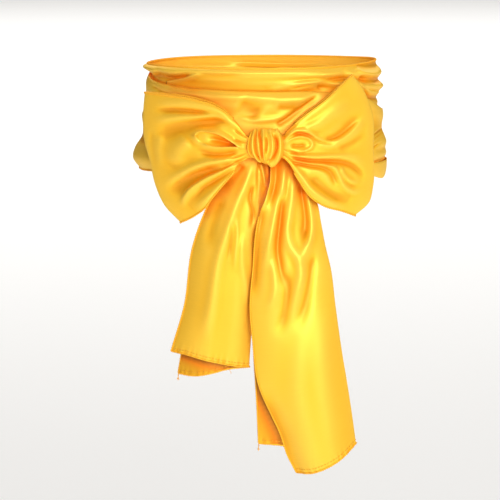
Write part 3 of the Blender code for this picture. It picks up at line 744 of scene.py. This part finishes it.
LEFT_LOOP = dict(
    mouth=[(-8, -12), (-8, -22), (-8, -34)],
    end=[(-121, 28), (-123, 2), (-122, -20), (-116, -43), (-110, -68), (-101, -87), (-84, -104)],
    upper_edge=[(-8, -12), (-14.5, -12), (-19, -7), (-28, 4), (-41, 15), (-68, 24), (-98, 27), (-121, 28)],
    lower_edge=[(-8, -34), (-14, -34), (-19, -37), (-31, -51), (-49, -73), (-59, -87), (-70, -96),
                (-84, -104)],
    front_folds=[
        #    line                                                       wide end  high  lean
        Fold([(-20, -8), (-38, 10), (-70, 19), (-118, 19)], 3.0, 5.5, 2.8),
        Fold([(-50, 11), (-85, 12), (-114, 11)], 2.2, 3.6, -2.6),
        Fold([(-24, -4), (-40, 6.5), (-75, 6), (-118, 0)], 2.5, 4.5, 2.8),
        Fold([(-32, 4), (-55, 1.0), (-82, -6), (-118, -20)], 4.2, 11.0, -5.0, 0.0, 0.2, 0.4),
        Fold([(-16, -26), (-30, -15.5), (-42, -8.5), (-56, -5.5), (-66, -6.5), (-70.5, -11.5),
              (-66, -18), (-57, -22)],
             1.8, 2.6, 3.6, 0.5, 0.12, 0.2),
        Fold([(-64, -20), (-56, -23), (-44, -24.5), (-32, -24), (-20, -24)], 2.2, 1.8, 3.0, 0.5, 0.2, 0.2),
        Fold([(-24, -21), (-34, -18.5), (-46, -16), (-58, -13.5)], 2.2, 4.0, -4.2, 0.0, 0.15, 0.4),
        Fold([(-22, -27), (-40, -31), (-56, -30), (-69, -24)], 2.5, 3.5, -2.9),
        Fold([(-20, -33), (-45, -37), (-68, -44), (-90, -58), (-106, -70)], 3.5, 6.0, 3.6),
        Fold([(-40, -43), (-56, -49), (-72, -56), (-88, -68), (-98, -84)], 4.2, 9.0, -3.8, 0.0, 0.2, 0.35),
        Fold([(-18, -37), (-35, -47), (-60, -60), (-76, -74), (-84, -90)], 2.4, 4.0, 4.5, -0.6, 0.15, 0.3),
        Fold([(-22, -42), (-45, -56), (-62, -68), (-70, -80)], 1.3, 1.8, -1.5),
        Fold([(-18, -41), (-38, -57), (-56, -75), (-72, -93)], 3.0, 5.0, 3.6),
        Fold([(-17, -36), (-24, -40), (-33, -45)], 1.0, 1.2, -1.8),
        Fold([(-15, -13), (-21, -10), (-30, -3)], 0.8, 1.3, -1.6, 0.0, 0.1, 0.4),
        Fold([(-15, -18), (-22, -17), (-31, -13)], 0.7, 1.1, -1.5, 0.0, 0.1, 0.4),
        Fold([(-15, -29), (-24, -32), (-36, -34)], 0.8, 1.3, -1.6, 0.0, 0.1, 0.4),
        Fold([(-15, -33), (-22, -36), (-30, -39)], 0.7, 1.1, -1.6, 0.0, 0.1, 0.4),
        Fold([(-74, -16), (-84, -26), (-92, -46)], 8.0, 10.0, 2.8),
        Fold([(-104, -12), (-107, -30), (-104, -50)], 4.5, 4.5, 1.6),
        Fold([(-114, -8), (-114, -28), (-110, -52)], 2.8, 2.8, -1.6),
    ],
    back_folds=[
        Fold([(-20, -16), (-50, 4), (-108, 8)], 5.0, 9.0, 2.8),
        Fold([(-20, -24), (-60, -22), (-112, -24)], 4.0, 8.0, -2.8),
        Fold([(-22, -32), (-50, -52), (-90, -80)], 5.0, 9.0, 2.8),
        Fold([(-24, -28), (-60, -38), (-100, -56)], 3.0, 5.0, -1.8),
    ],
)
RIGHT_LOOP = dict(
    mouth=[(15, -11), (15, -22), (15, -34)],
    end=[(92, 48), (100, 39), (108, 24), (114, 6), (115, -28), (115, -68), (111, -84), (96, -97)],
    upper_edge=[(15, -11), (21.5, -11), (26, -6), (36, 3), (63, 23), (92, 48)],
    lower_edge=[(15, -34), (21, -34), (26, -38), (36, -54), (51, -75), (64, -84), (83, -91), (96, -97)],
    front_folds=[
        Fold([(22, -14), (34, -2), (60, 17), (88, 42)], 3.0, 5.5, 1.6),
        Fold([(20, -13), (27, -6), (38, 3)], 0.7, 1.2, -1.5, 0.0, 0.1, 0.4),
        Fold([(20, -25), (29, -27), (40, -31)], 0.7, 1.2, -1.6, 0.0, 0.1, 0.4),
        Fold([(20, -30), (28, -35), (38, -44)], 0.8, 1.4, -1.8, 0.0, 0.1, 0.4),
        Fold([(34, -4), (52, -1), (72, 12), (92, 26)], 4.0, 10.0, 3.5),
        Fold([(60, -18), (72, -15), (84, -7), (92, 2), (97, 14)], 4.4, 8.0, -4.0, 0.0, 0.2, 0.45),
        Fold([(56, -19), (74, -20), (90, -12), (102, 0), (108, 12)], 3.0, 4.6, 3.4, 0.3),
        Fold([(76, -26), (92, -21), (110, -10)], 3.8, 4.6, -1.3),
        Fold([(20, -20), (27, -10.5), (36, -5.5), (46, -7), (55, -14), (66, -20)],
             1.8, 2.8, 3.1, 0.0, 0.15, 0.25),
        Fold([(28, -10), (40, -8.8), (49, -12), (58, -17.5), (70, -21), (82, -18)],
             1.4, 2.0, -2.4, 0.0, 0.15, 0.25),
        Fold([(21, -21), (31, -13.5), (41, -12), (49, -15), (51, -21), (45, -26), (34, -28)],
             1.6, 1.6, 2.2, 0.0, 0.12, 0.2),
        Fold([(28, -21), (38, -21.5), (46, -20.5)], 2.0, 2.4, -2.9),
        Fold([(26, -28), (36, -29.5), (47, -28)], 1.4, 1.6, -2.0),
        Fold([(24, -29), (50, -33), (75, -34), (98, -38), (111, -46)], 2.0, 5.0, 3.1),
        Fold([(26, -32), (45, -36.3), (65, -38), (80, -39.5), (92, -45), (102, -55), (104, -65)],
             1.3, 3.8, -3.5, 0.0, 0.12, 0.2),
        Fold([(28, -35), (48, -39), (66, -42), (74, -45), (79, -54), (84, -64), (93, -71), (106, -70)],
             1.5, 3.2, 3.2, 0.0, 0.12, 0.2),
        Fold([(30, -38), (48, -42), (62, -45), (69, -50), (73, -58), (76, -68)],
             1.2, 3.4, -3.1, 0.0, 0.12, 0.25),
        Fold([(80, -43), (84, -53), (91, -60), (101, -63)], 2.2, 2.6, 2.3),
        Fold([(29, -40), (40, -52), (52, -67), (70, -80), (94, -91)], 3.0, 5.5, 3.8),
        Fold([(46, -50), (60, -62), (76, -75), (94, -81)], 5.0, 7.0, -3.1),
        Fold([(108, 22), (111, -5), (110, -32)], 4.5, 4.5, 1.4),
    ],
    back_folds=[
        Fold([(26, -14), (56, 4), (92, 26)], 5.0, 9.0, 2.6),
        Fold([(26, -24), (60, -24), (106, -20)], 4.0, 8.0, -2.6),
        Fold([(26, -32), (56, -50), (96, -78)], 5.0, 9.0, 2.6),
        Fold([(28, -28), (66, -38), (104, -50)], 3.0, 5.0, -1.7),
    ],
)
LOOP_HEM_FROM = 25          # columns of a loop's edge that the knot hides at each end
for name, node, shape, outwards, seed in (("left_loop", "bow_loop_left", LEFT_LOOP, 1.0, 3),
                                          ("right_loop", "bow_loop_right", RIGHT_LOOP, -1.0, 4)):
    loop_grid = loop_surface(**shape, columns=250, rows=124)
    loop = cloth(name, loop_grid, 300.0, 160.0, outwards)
    edges = [HemPath(loop_grid[row, LOOP_HEM_FROM:-LOOP_HEM_FROM], False) for row in (0, -1)]
    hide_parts(node)
    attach(loop, "root")
    hemmed(name, edges, seed)

# Knot
# The stretch that goes round both loops and holds them: the full width of the sash drawn into a
# short band of deep pleats that curve together at its lower edge, the right-hand one thickest.
KNOT_HALF_WIDTH = 18.6
KNOT_HALF_HEIGHT = 18.6
KNOT_FRONT_DEPTH = 17.0
KNOT_BACK_DEPTH = 13.2
KNOT_MOUTH = 0.74           # half height of its ends, and how far forward they reach in front
KNOT_FRONT_MOUTH = 0.57
KNOT_RIM = 0.10
KNOT_TOP_NARROW = 0.16
KNOT_FOOT_NARROW = 0.44
KNOT_FOOT_SHIFT = 3.5
KNOT_FRONT_BLEND = 1.5      # how sharply the pleats fade towards its back
KNOT_FOLDS = [
    #    line                                                            wide end  high  lean rise fall
    Fold([(-10, -3), (-15.5, -14), (-15.5, -26), (-9, -35), (-1, -39.5)], 2.0, 1.5, 2.0, 0.0, 0.1, 0.15),
    Fold([(-9, -5), (-12.6, -15), (-12.2, -26), (-8, -33), (-2, -38.5)], 0.8, 0.9, -2.0, 0.0, 0.1, 0.15),
    Fold([(-7, -3), (-10, -14), (-9.4, -25), (-5, -34), (0, -39)], 2.2, 1.6, 2.2, 0.0, 0.1, 0.15),
    Fold([(-5.5, -5), (-7, -14), (-6.6, -24), (-3, -33), (0.5, -38)], 0.8, 0.8, -2.2, 0.0, 0.1, 0.15),
    Fold([(-4, -2), (-4.6, -12), (-3.4, -24), (0, -37)], 1.9, 1.3, 2.2, 0.0, 0.1, 0.15),
    Fold([(-2, -4), (-3, -9), (-1.6, -15), (-0.6, -24), (1, -36)], 0.8, 0.8, -2.8, 0.0, 0.1, 0.15),
    Fold([(1, -3), (1.4, -13), (1.6, -26), (2.4, -38)], 2.3, 1.4, 2.4, 0.0, 0.1, 0.15),
    Fold([(3.6, -10), (4.6, -18), (3.8, -25), (2.8, -31)], 0.8, 0.8, -2.6, 0.0, 0.15, 0.3),
    Fold([(7, -3), (10.2, -13), (10.4, -25), (6, -36)], 2.8, 1.8, 2.8, 0.0, 0.1, 0.15),
    Fold([(9, -8), (14.2, -14), (15, -20), (13.4, -27), (9.5, -34), (4.5, -37)],
         0.9, 1.1, -4.4, 0.0, 0.15, 0.1),
    Fold([(12, -4), (17.8, -12), (19, -22), (17, -31), (12, -38), (5, -40.5)],
         2.6, 2.8, 4.0, 0.0, 0.1, 0.1),
]


def knot_surface(columns, rows):
    """Points of the knot's band: round its ring, and across its pleats."""
    angle, u = np.meshgrid(np.linspace(0.0, 2 * np.pi, columns, endpoint=False),
                           np.linspace(-1.0, 1.0, rows))
    barrel = 1.0 - (1.0 - KNOT_MOUTH) * u**2
    fade = ease((1.0 - np.abs(u)) / KNOT_RIM)
    depth = np.where(np.cos(angle) > 0, KNOT_FRONT_DEPTH, KNOT_BACK_DEPTH)
    up, down = np.maximum(np.sin(angle), 0.0), np.maximum(-np.sin(angle), 0.0)
    half_width = KNOT_HALF_WIDTH * (1.0 - KNOT_TOP_NARROW * up**2 - KNOT_FOOT_NARROW * down**3)
    x = KNOT_X + KNOT_FOOT_SHIFT * down**3 + half_width * u
    z = KNOT_Z + KNOT_HALF_HEIGHT * barrel * np.sin(angle)
    high, _, _ = fold_shape(x, z, KNOT_FOLDS)
    front = ease(0.5 + KNOT_FRONT_BLEND * np.cos(angle))
    pleats = high * fade * front
    closing = np.where(np.cos(angle) > 0, 1.0 - (1.0 - KNOT_FRONT_MOUTH) * u**2, barrel)
    y = KNOT_Y - (depth * closing + pleats) * np.cos(angle)
    z = z + pleats * np.sin(angle)
    return np.stack([x, y, z], axis=-1)


knot = cloth("knot", knot_surface(160, 108), 110.0, 160.0, -1.0, closed=True, painted_shade_scale=0.5)
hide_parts("bow_knot")
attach(knot, "root")

# Tails
# The two ends of the sash: each is folded lengthwise as it leaves the knot, so that its fold runs
# down its right edge and both selvedges hang at its left, the back layer reaching a little lower.
TAIL_BEND = 40.0            # how far a tail lies back beside the bow, at the waist's half width
TAIL_FREE = 0.12            # share of its length over which it comes to hang clear
TAIL_BACK_SHARE = 0.7       # how much of the folds goes through to the back layer
TAIL_PLAIN_FOLD = 0.2
TAIL_COLUMN_SPREAD = 1.3
TAIL_COLUMNS = 160
PUCKER_HIGH = 0.55          # the seam draws its hem into small puckers
PUCKER_EVERY = 7.5
PUCKER_REACH = 6.0
PUCKER_DRIFT = 1.3          # how much, and how fast, their spacing and their height change
PUCKER_DRIFT_RATE = 1.7
PUCKER_FADE = 0.3
PUCKER_FADE_RATE = 0.9


def tail_surface(tail, columns, rows):
    """Places of a tail's points, with its two layers set apart in depth."""
    t, v = np.meshgrid(np.linspace(-1.0, 1.0, columns), np.linspace(0.0, 1.0, rows))
    s = 1.0 - np.abs(t)**TAIL_COLUMN_SPREAD
    front = panel(tail["front_top"], tail["front_hem"], tail["front_edge"], tail["fold_edge"], v, s)
    behind = panel(tail["back_top"], tail["back_hem"], tail["back_edge"], tail["fold_edge"], v, s)
    is_front = t < 0
    flat = np.where(is_front[..., None], front, behind)
    x, z = flat[..., 0], flat[..., 1]
    middle = smooth_between(np.array(tail["depth_at"]), tail["depth"], v)
    hanging = ease((v - tail["free"]) / TAIL_FREE)
    middle += (1.0 - hanging) * TAIL_BEND * (x / WAIST_HALF_WIDTH)**2
    left = np.clip(1.0 - s / tail["left_share"], 0.0, 1.0)
    right = np.clip(1.0 - (1.0 - s) / tail["right_share"], 0.0, 1.0)
    middle += hanging * (tail["left_turn"] * left**2 + tail["right_turn"] * right**2)
    apart = smooth_between(np.array(tail["depth_at"]), tail["apart"], v) * np.sqrt(np.abs(t))
    away = np.clip(np.abs(t) / TAIL_PLAIN_FOLD, 0.0, 1.0)
    share = np.where(is_front, 1.0, 1.0 - (1.0 - TAIL_BACK_SHARE) * away)
    high, _, _ = fold_shape(x, z, tail["folds"])
    y = middle - np.where(is_front, apart, -apart) - share * high
    grid = np.stack([x, y, z], axis=-1)
    hem_steps = np.diff(grid[-1], axis=0, prepend=grid[-1][:1])
    along = np.cumsum(np.linalg.norm(hem_steps, axis=-1)) / PUCKER_EVERY
    from_hem = np.linalg.norm(grid - grid[-1:], axis=-1)
    pucker = np.sin(2 * np.pi * along + PUCKER_DRIFT * np.sin(PUCKER_DRIFT_RATE * along))
    pucker *= 1.0 - PUCKER_FADE + PUCKER_FADE * np.sin(PUCKER_FADE_RATE * along)
    grid[..., 1] += PUCKER_HIGH * pucker * np.exp(-(from_hem / PUCKER_REACH)**2)
    return grid


LEFT_TAIL = dict(
    front_top=[(-13, -27), (-8, -27), (-2, -27)],
    front_edge=[(-13, -27), (-23, -40), (-41, -60), (-57, -90), (-71, -129), (-80, -191), (-94, -239)],
    fold_edge=[(-2, -27), (6, -40), (10, -47), (10.5, -58), (7, -72), (2, -84), (1, -95), (-1, -120),
               (-5, -150), (-9, -190), (-11, -224), (-13, -254)],
    front_hem=[(-94, -239), (-80, -240), (-54, -246), (-40, -249), (-13, -254)],
    back_top=[(-13, -27), (-8, -27), (-2, -27)],
    back_edge=[(-13, -27), (-20, -42), (-39, -64), (-55, -95), (-66, -140), (-77, -205), (-87, -264)],
    back_hem=[(-87, -264), (-71, -264), (-52, -260), (-33, -255), (-13, -254)],
    depth_at=[0.0, 0.10, 0.30, 0.60, 1.0],
    depth=[-99.4, -99.6, -103.0, -106.0, -104.0],
    apart=[2.6, 3.2, 4.5, 4.5, 4.0],
    free=0.12, left_turn=20.0, left_share=0.48, right_turn=8.0, right_share=0.3,
    folds=[
        #    line                                                                    wide end high
        Fold([(-9, -38), (-16, -60), (-26, -84), (-35, -110), (-45, -142), (-51, -180), (-60, -230)],
             4.0, 7.0, 3.3, 0.0, 0.1, 0.2),
        Fold([(-26, -92), (-25, -112), (-27, -135), (-28, -155)], 2.0, 2.4, 1.4),
        Fold([(-31, -100), (-32, -120), (-35, -142)], 1.6, 1.8, -1.0),
        Fold([(-20, -110), (-20, -145), (-15, -172), (-13, -200)], 3.0, 4.5, 1.4),
        Fold([(-9, -62), (-12, -76), (-9, -92), (-12, -112)], 1.8, 2.8, -2.5),
        Fold([(-4, -42), (-3, -60), (-3.5, -80), (-2.5, -100), (-7, -130)], 1.8, 2.4, 2.0, 0.0, 0.1, 0.3),
        Fold([(-2, -38), (1, -50), (4, -66)], 2.4, 1.8, 4.6, 0.0, 0.15, 0.2),
        Fold([(7, -34), (9.5, -46), (10, -58), (6, -78)], 2.2, 1.8, -4.4, 0.0, 0.1, 0.3),
        Fold([(-19, -42), (-30, -56), (-44, -71)], 3.0, 5.0, -3.3, 0.0, 0.1, 0.3),
        Fold([(-38, -74), (-49, -100), (-57, -135)], 5.0, 7.0, -2.5),
    ],
)
RIGHT_TAIL = dict(
    front_top=[(7, -27), (13, -27), (20, -27)],
    front_edge=[(7, -27), (8.5, -45), (8.5, -58), (5, -72), (-1, -88), (-5, -105), (-9, -149),
                (-12, -189), (-9, -225),
                (-3, -270), (10, -302), (19, -322), (27, -346), (36, -364)],
    fold_edge=[(20, -27), (30, -42), (46, -62), (56, -80), (61, -104), (65, -125), (71, -150), (76, -189),
               (82, -231), (90, -279), (94, -305), (98, -334)],
    front_hem=[(36, -364), (53, -361), (66, -356), (82, -347), (98, -334)],
    back_top=[(7, -27), (13, -27), (20, -27)],
    back_edge=[(7, -27), (9, -47), (7, -68), (-1, -95), (-5, -130), (-10, -189), (-8, -240), (-5, -290),
               (-3, -335)],
    back_hem=[(-3, -335), (17, -335), (50, -342), (83, -344), (98, -334)],
    depth_at=[0.0, 0.04, 0.08, 0.14, 0.60, 1.0],
    depth=[-99.4, -101.0, -105.5, -107.6, -118.0, -112.0],
    apart=[2.6, 3.0, 3.4, 4.2, 5.0, 4.5],
    free=0.24, left_turn=10.0, left_share=0.42, right_turn=13.0, right_share=0.4,
    folds=[
        Fold([(13.5, -34), (14.5, -50), (12.5, -66), (7, -88)], 3.8, 3.4, -4.2, 0.0, 0.05, 0.4),
        Fold([(9, -40), (8.5, -56), (5, -74), (0, -92)], 1.6, 2.2, 1.6, 0.0, 0.1, 0.3),
        Fold([(22, -36), (22, -56), (18.5, -78), (13, -98), (9, -116), (5, -134), (2, -156)],
             3.6, 5.2, 3.7, 0.2, 0.1, 0.25),
        Fold([(21, -66), (19, -88), (17.5, -106), (16, -126), (19, -148), (22, -172)],
             3.2, 4.6, -5.2, 0.0, 0.2, 0.35),
        Fold([(9, -136), (13, -156), (12, -176), (4, -194)], 3.6, 4.6, 1.8),
        Fold([(31, -48), (31, -72), (28, -94), (26, -110), (29, -124), (37, -136), (40, -152),
              (35, -176), (28, -206)],
             3.8, 6.4, 3.6, 0.0, 0.12, 0.3),
        Fold([(38, -58), (42, -80), (44, -100), (42.5, -124)], 3.2, 5.0, -4.0, 0.0, 0.15, 0.25),
        Fold([(44, -66), (49, -86), (51, -104), (49, -118), (44, -131), (41, -146)],
             3.7, 5.0, 3.3, -0.1, 0.1, 0.3),
        Fold([(22, -146), (26, -168), (23, -194), (14, -222)], 5.0, 7.0, -2.6),
        Fold([(53, -128), (50, -152), (45, -182), (36, -216)], 4.0, 7.0, -2.8),
        Fold([(48, -176), (42, -220), (40, -270), (46, -330), (56, -400)],
             11.0, 18.0, 4.2, 0.0, 0.35, 0.05),
        Fold([(62, -168), (63, -220), (64, -270), (68, -330), (78, -400)],
             11.0, 18.0, 4.6, 0.0, 0.35, 0.05),
        Fold([(0, -268), (12, -300), (26, -335), (50, -400)], 7.0, 9.0, -3.6, 0.0, 0.3, 0.05),
        Fold([(3, -78), (-2, -104), (-6, -142), (-8, -185)], 4.0, 5.6, -4.0, 0.0, 0.2, 0.3),
    ],
)
TAIL_HEM_FROM = 0.2         # share of a tail's length above which its selvedges are hidden
SEAM_ROW = -4               # row of points along which the hem of a cut end is sewn
SEAM_STITCH = 2.0
SEAM_EVERY = 3.4
SEAM_RADIUS = 0.42
SEAM_SIDES = 5
SEAM_PROUD = 0.4            # share of its radius by which a seam thread's middle clears the satin
LOOSE_THREAD = 0.26
LOOSE_SIDES = 6
LOOSE_POINTS = 9
LOOSE_CURL = 3.0
CORNER_THREADS = 5
FOLD_THREAD_COLUMN = 111
TAIL_PAINTED_SHADE = 0.95         # how dark the painted shade on a back layer is at the front layer's edge
TAIL_PAINTED_SHADE_REACH = 11.0
TAIL_PAINTED_SHADE_STEP = 4       # every how many points of that edge it is measured from
painted_shade_by_front = {}


def loose_thread(start, fall, wander):
    """A thread end that hangs from the hem."""
    t = np.linspace(0.0, 1.0, LOOSE_POINTS)[:, None]
    bend = np.sin(LOOSE_CURL * t) * np.array(wander)
    return HemPath(np.array(start) + t * np.array(fall) + bend, False)


def seam_stitches(line, outwards):
    """Paths of the short threads that hold the hem of a cut end, outside and inside the satin."""
    run = np.concatenate([[0.0], np.cumsum(np.linalg.norm(np.diff(line, axis=0), axis=1))])
    proud = SEAM_PROUD * SEAM_RADIUS
    laid = []
    for side in (proud, -SHELL - proud):
        points = line + outwards * side
        for start in np.arange(0.5, run[-1] - SEAM_STITCH, SEAM_EVERY):
            at = np.linspace(start, start + SEAM_STITCH, 3)
            places = np.stack([np.interp(at, run, points[:, k]) for k in range(3)], axis=1)
            laid.append(HemPath(places, False))
    return laid


def back_layer_painted_shade(grid):
    """Painted shade on a tail's back layer, darkest along the outline of its front layer, which hides it."""
    half = grid.shape[1] // 2
    front_outline = np.concatenate([grid[:, 0], grid[-1, :half]])[::TAIL_PAINTED_SHADE_STEP, [0, 2]]
    apart = np.linalg.norm(grid[:, :, None, [0, 2]] - front_outline, axis=-1).min(axis=-1)
    share = TAIL_PAINTED_SHADE * np.exp(-(apart / TAIL_PAINTED_SHADE_REACH)**2)
    share[:, :half] = 0.0
    return share


for name, node, shape, rows, flat, seed in (
        ("left_tail", "tail_left", LEFT_TAIL, 200, (0.160, 0.240), 5),
        ("right_tail", "tail_right", RIGHT_TAIL, 245, (0.165, 0.345), 6)):
    tail_grid = tail_surface(shape, TAIL_COLUMNS, rows)
    tail = cloth(name, tail_grid, 160.0, 240.0, -1.0)
    painted_shade_by_front[name] = back_layer_painted_shade(tail_grid)
    start = int(TAIL_HEM_FROM * rows)
    edge = np.concatenate([tail_grid[start:-1, 0], tail_grid[-1], tail_grid[start:-1, -1][::-1]])
    with_pieces = hemmed(name, [HemPath(edge, False)], seed)
    seam_facing = -grid_normals(tail_grid, False)[SEAM_ROW, 2:-2]
    seam_paths = seam_stitches(tail_grid[SEAM_ROW, 2:-2], seam_facing)
    seam = tube(name + "_seam", seam_paths, SEAM_RADIUS, SEAM_SIDES, thread)
    ends = [loose_thread(tail_grid[-1, -1], (-1.5 + 0.6 * k, 0.3 * k, -6.5 - 0.9 * (k % 3)),
                         (0.8 - 0.4 * k, 0.2, 0.0)) for k in range(CORNER_THREADS)]
    ends.append(loose_thread(tail_grid[-1, FOLD_THREAD_COLUMN], (3.5, 0.3, -5.0), (1.0, 0.0, 0.6)))
    threads = tube(name + "_thread_ends", ends, LOOSE_THREAD, LOOSE_SIDES, thread)
    for piece in (seam, threads):
        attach(piece, "root")
        with_pieces.append(piece)
    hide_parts(node)
    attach(tail, "root")

# Shade
# Where layers of the satin lie close together, their colour is painted deep orange as painted bounce light,
# and brown as painted shade where they close in most. How closed in each place is goes on both sides of the
# cloth, measured with a spread of straight lines from it.
SHADE_REACH = 34.0
SHADE_LINES = 18
SHADE_STEP = 2              # every how many points it is measured
SHADE_START = 0.6
SHADE_SPREAD = 0.97         # how far the lines lean from the way that the cloth faces
SHADE_SHARE = {"knot": 0.6, "upper_turn": 0.65}
SHADE_INSIDE = 0.7
SHADE_ORDER = ["upper_turn", "lower_turn", "side_fold", "knot",
               "left_loop", "right_loop", "left_tail", "right_tail"]
layer_places, layer_faces = [], []
for name in SHADE_ORDER:
    layer, first = stretches[name].piece.data, len(layer_places)
    layer_places += [tuple(vertex.co / MM) for vertex in layer.vertices]
    layer_faces += [tuple(first + index for index in face.vertices) for face in layer.polygons]
layers = BVHTree.FromPolygons(layer_places, layer_faces)
chance = np.random.default_rng(5)


def closed_in(places, facing, closed):
    """How closed in each point lies, from 0 in the open to 1, on the side that it faces."""
    some_places, some_facing = places[::SHADE_STEP, ::SHADE_STEP], facing[::SHADE_STEP, ::SHADE_STEP]
    ways = chance.normal(size=(*some_places.shape[:2], SHADE_LINES, 3))
    ways /= np.linalg.norm(ways, axis=-1, keepdims=True)
    ways = ways * SHADE_SPREAD + some_facing[:, :, None]
    ways /= np.linalg.norm(ways, axis=-1, keepdims=True)
    starts = some_places + some_facing * SHADE_START
    share = np.zeros(some_places.shape[:2])
    for row, column in np.ndindex(*share.shape):
        start = Vector(starts[row, column])
        for way in ways[row, column]:
            hit = layers.ray_cast(start, Vector(way), SHADE_REACH)[3]
            if hit is not None:
                share[row, column] += (1.0 - hit / SHADE_REACH) / SHADE_LINES
    share = spread(share[..., None], 1, closed)
    whole = np.repeat(np.repeat(share, SHADE_STEP, axis=0), SHADE_STEP, axis=1)
    return spread(whole[:places.shape[0], :places.shape[1]], 1, closed)[..., 0]


for name in SHADE_ORDER:
    piece, grid, closed, outwards = stretches[name]
    facing = grid_normals(grid, closed) * outwards
    outside = closed_in(grid, facing, closed) * SHADE_SHARE.get(name, 1.0)
    inside = closed_in(grid, -facing, closed) * SHADE_INSIDE
    # A tail's back layer also takes painted shade beside its front layer's edge.
    if name in painted_shade_by_front:
        inside = np.maximum(inside, painted_shade_by_front[name])
    # How closed in each side lies, for the painted bounce light and painted shade in the satin's colour.
    mark(piece.data, "shade_outside", outside)
    mark(piece.data, "shade_inside", inside)
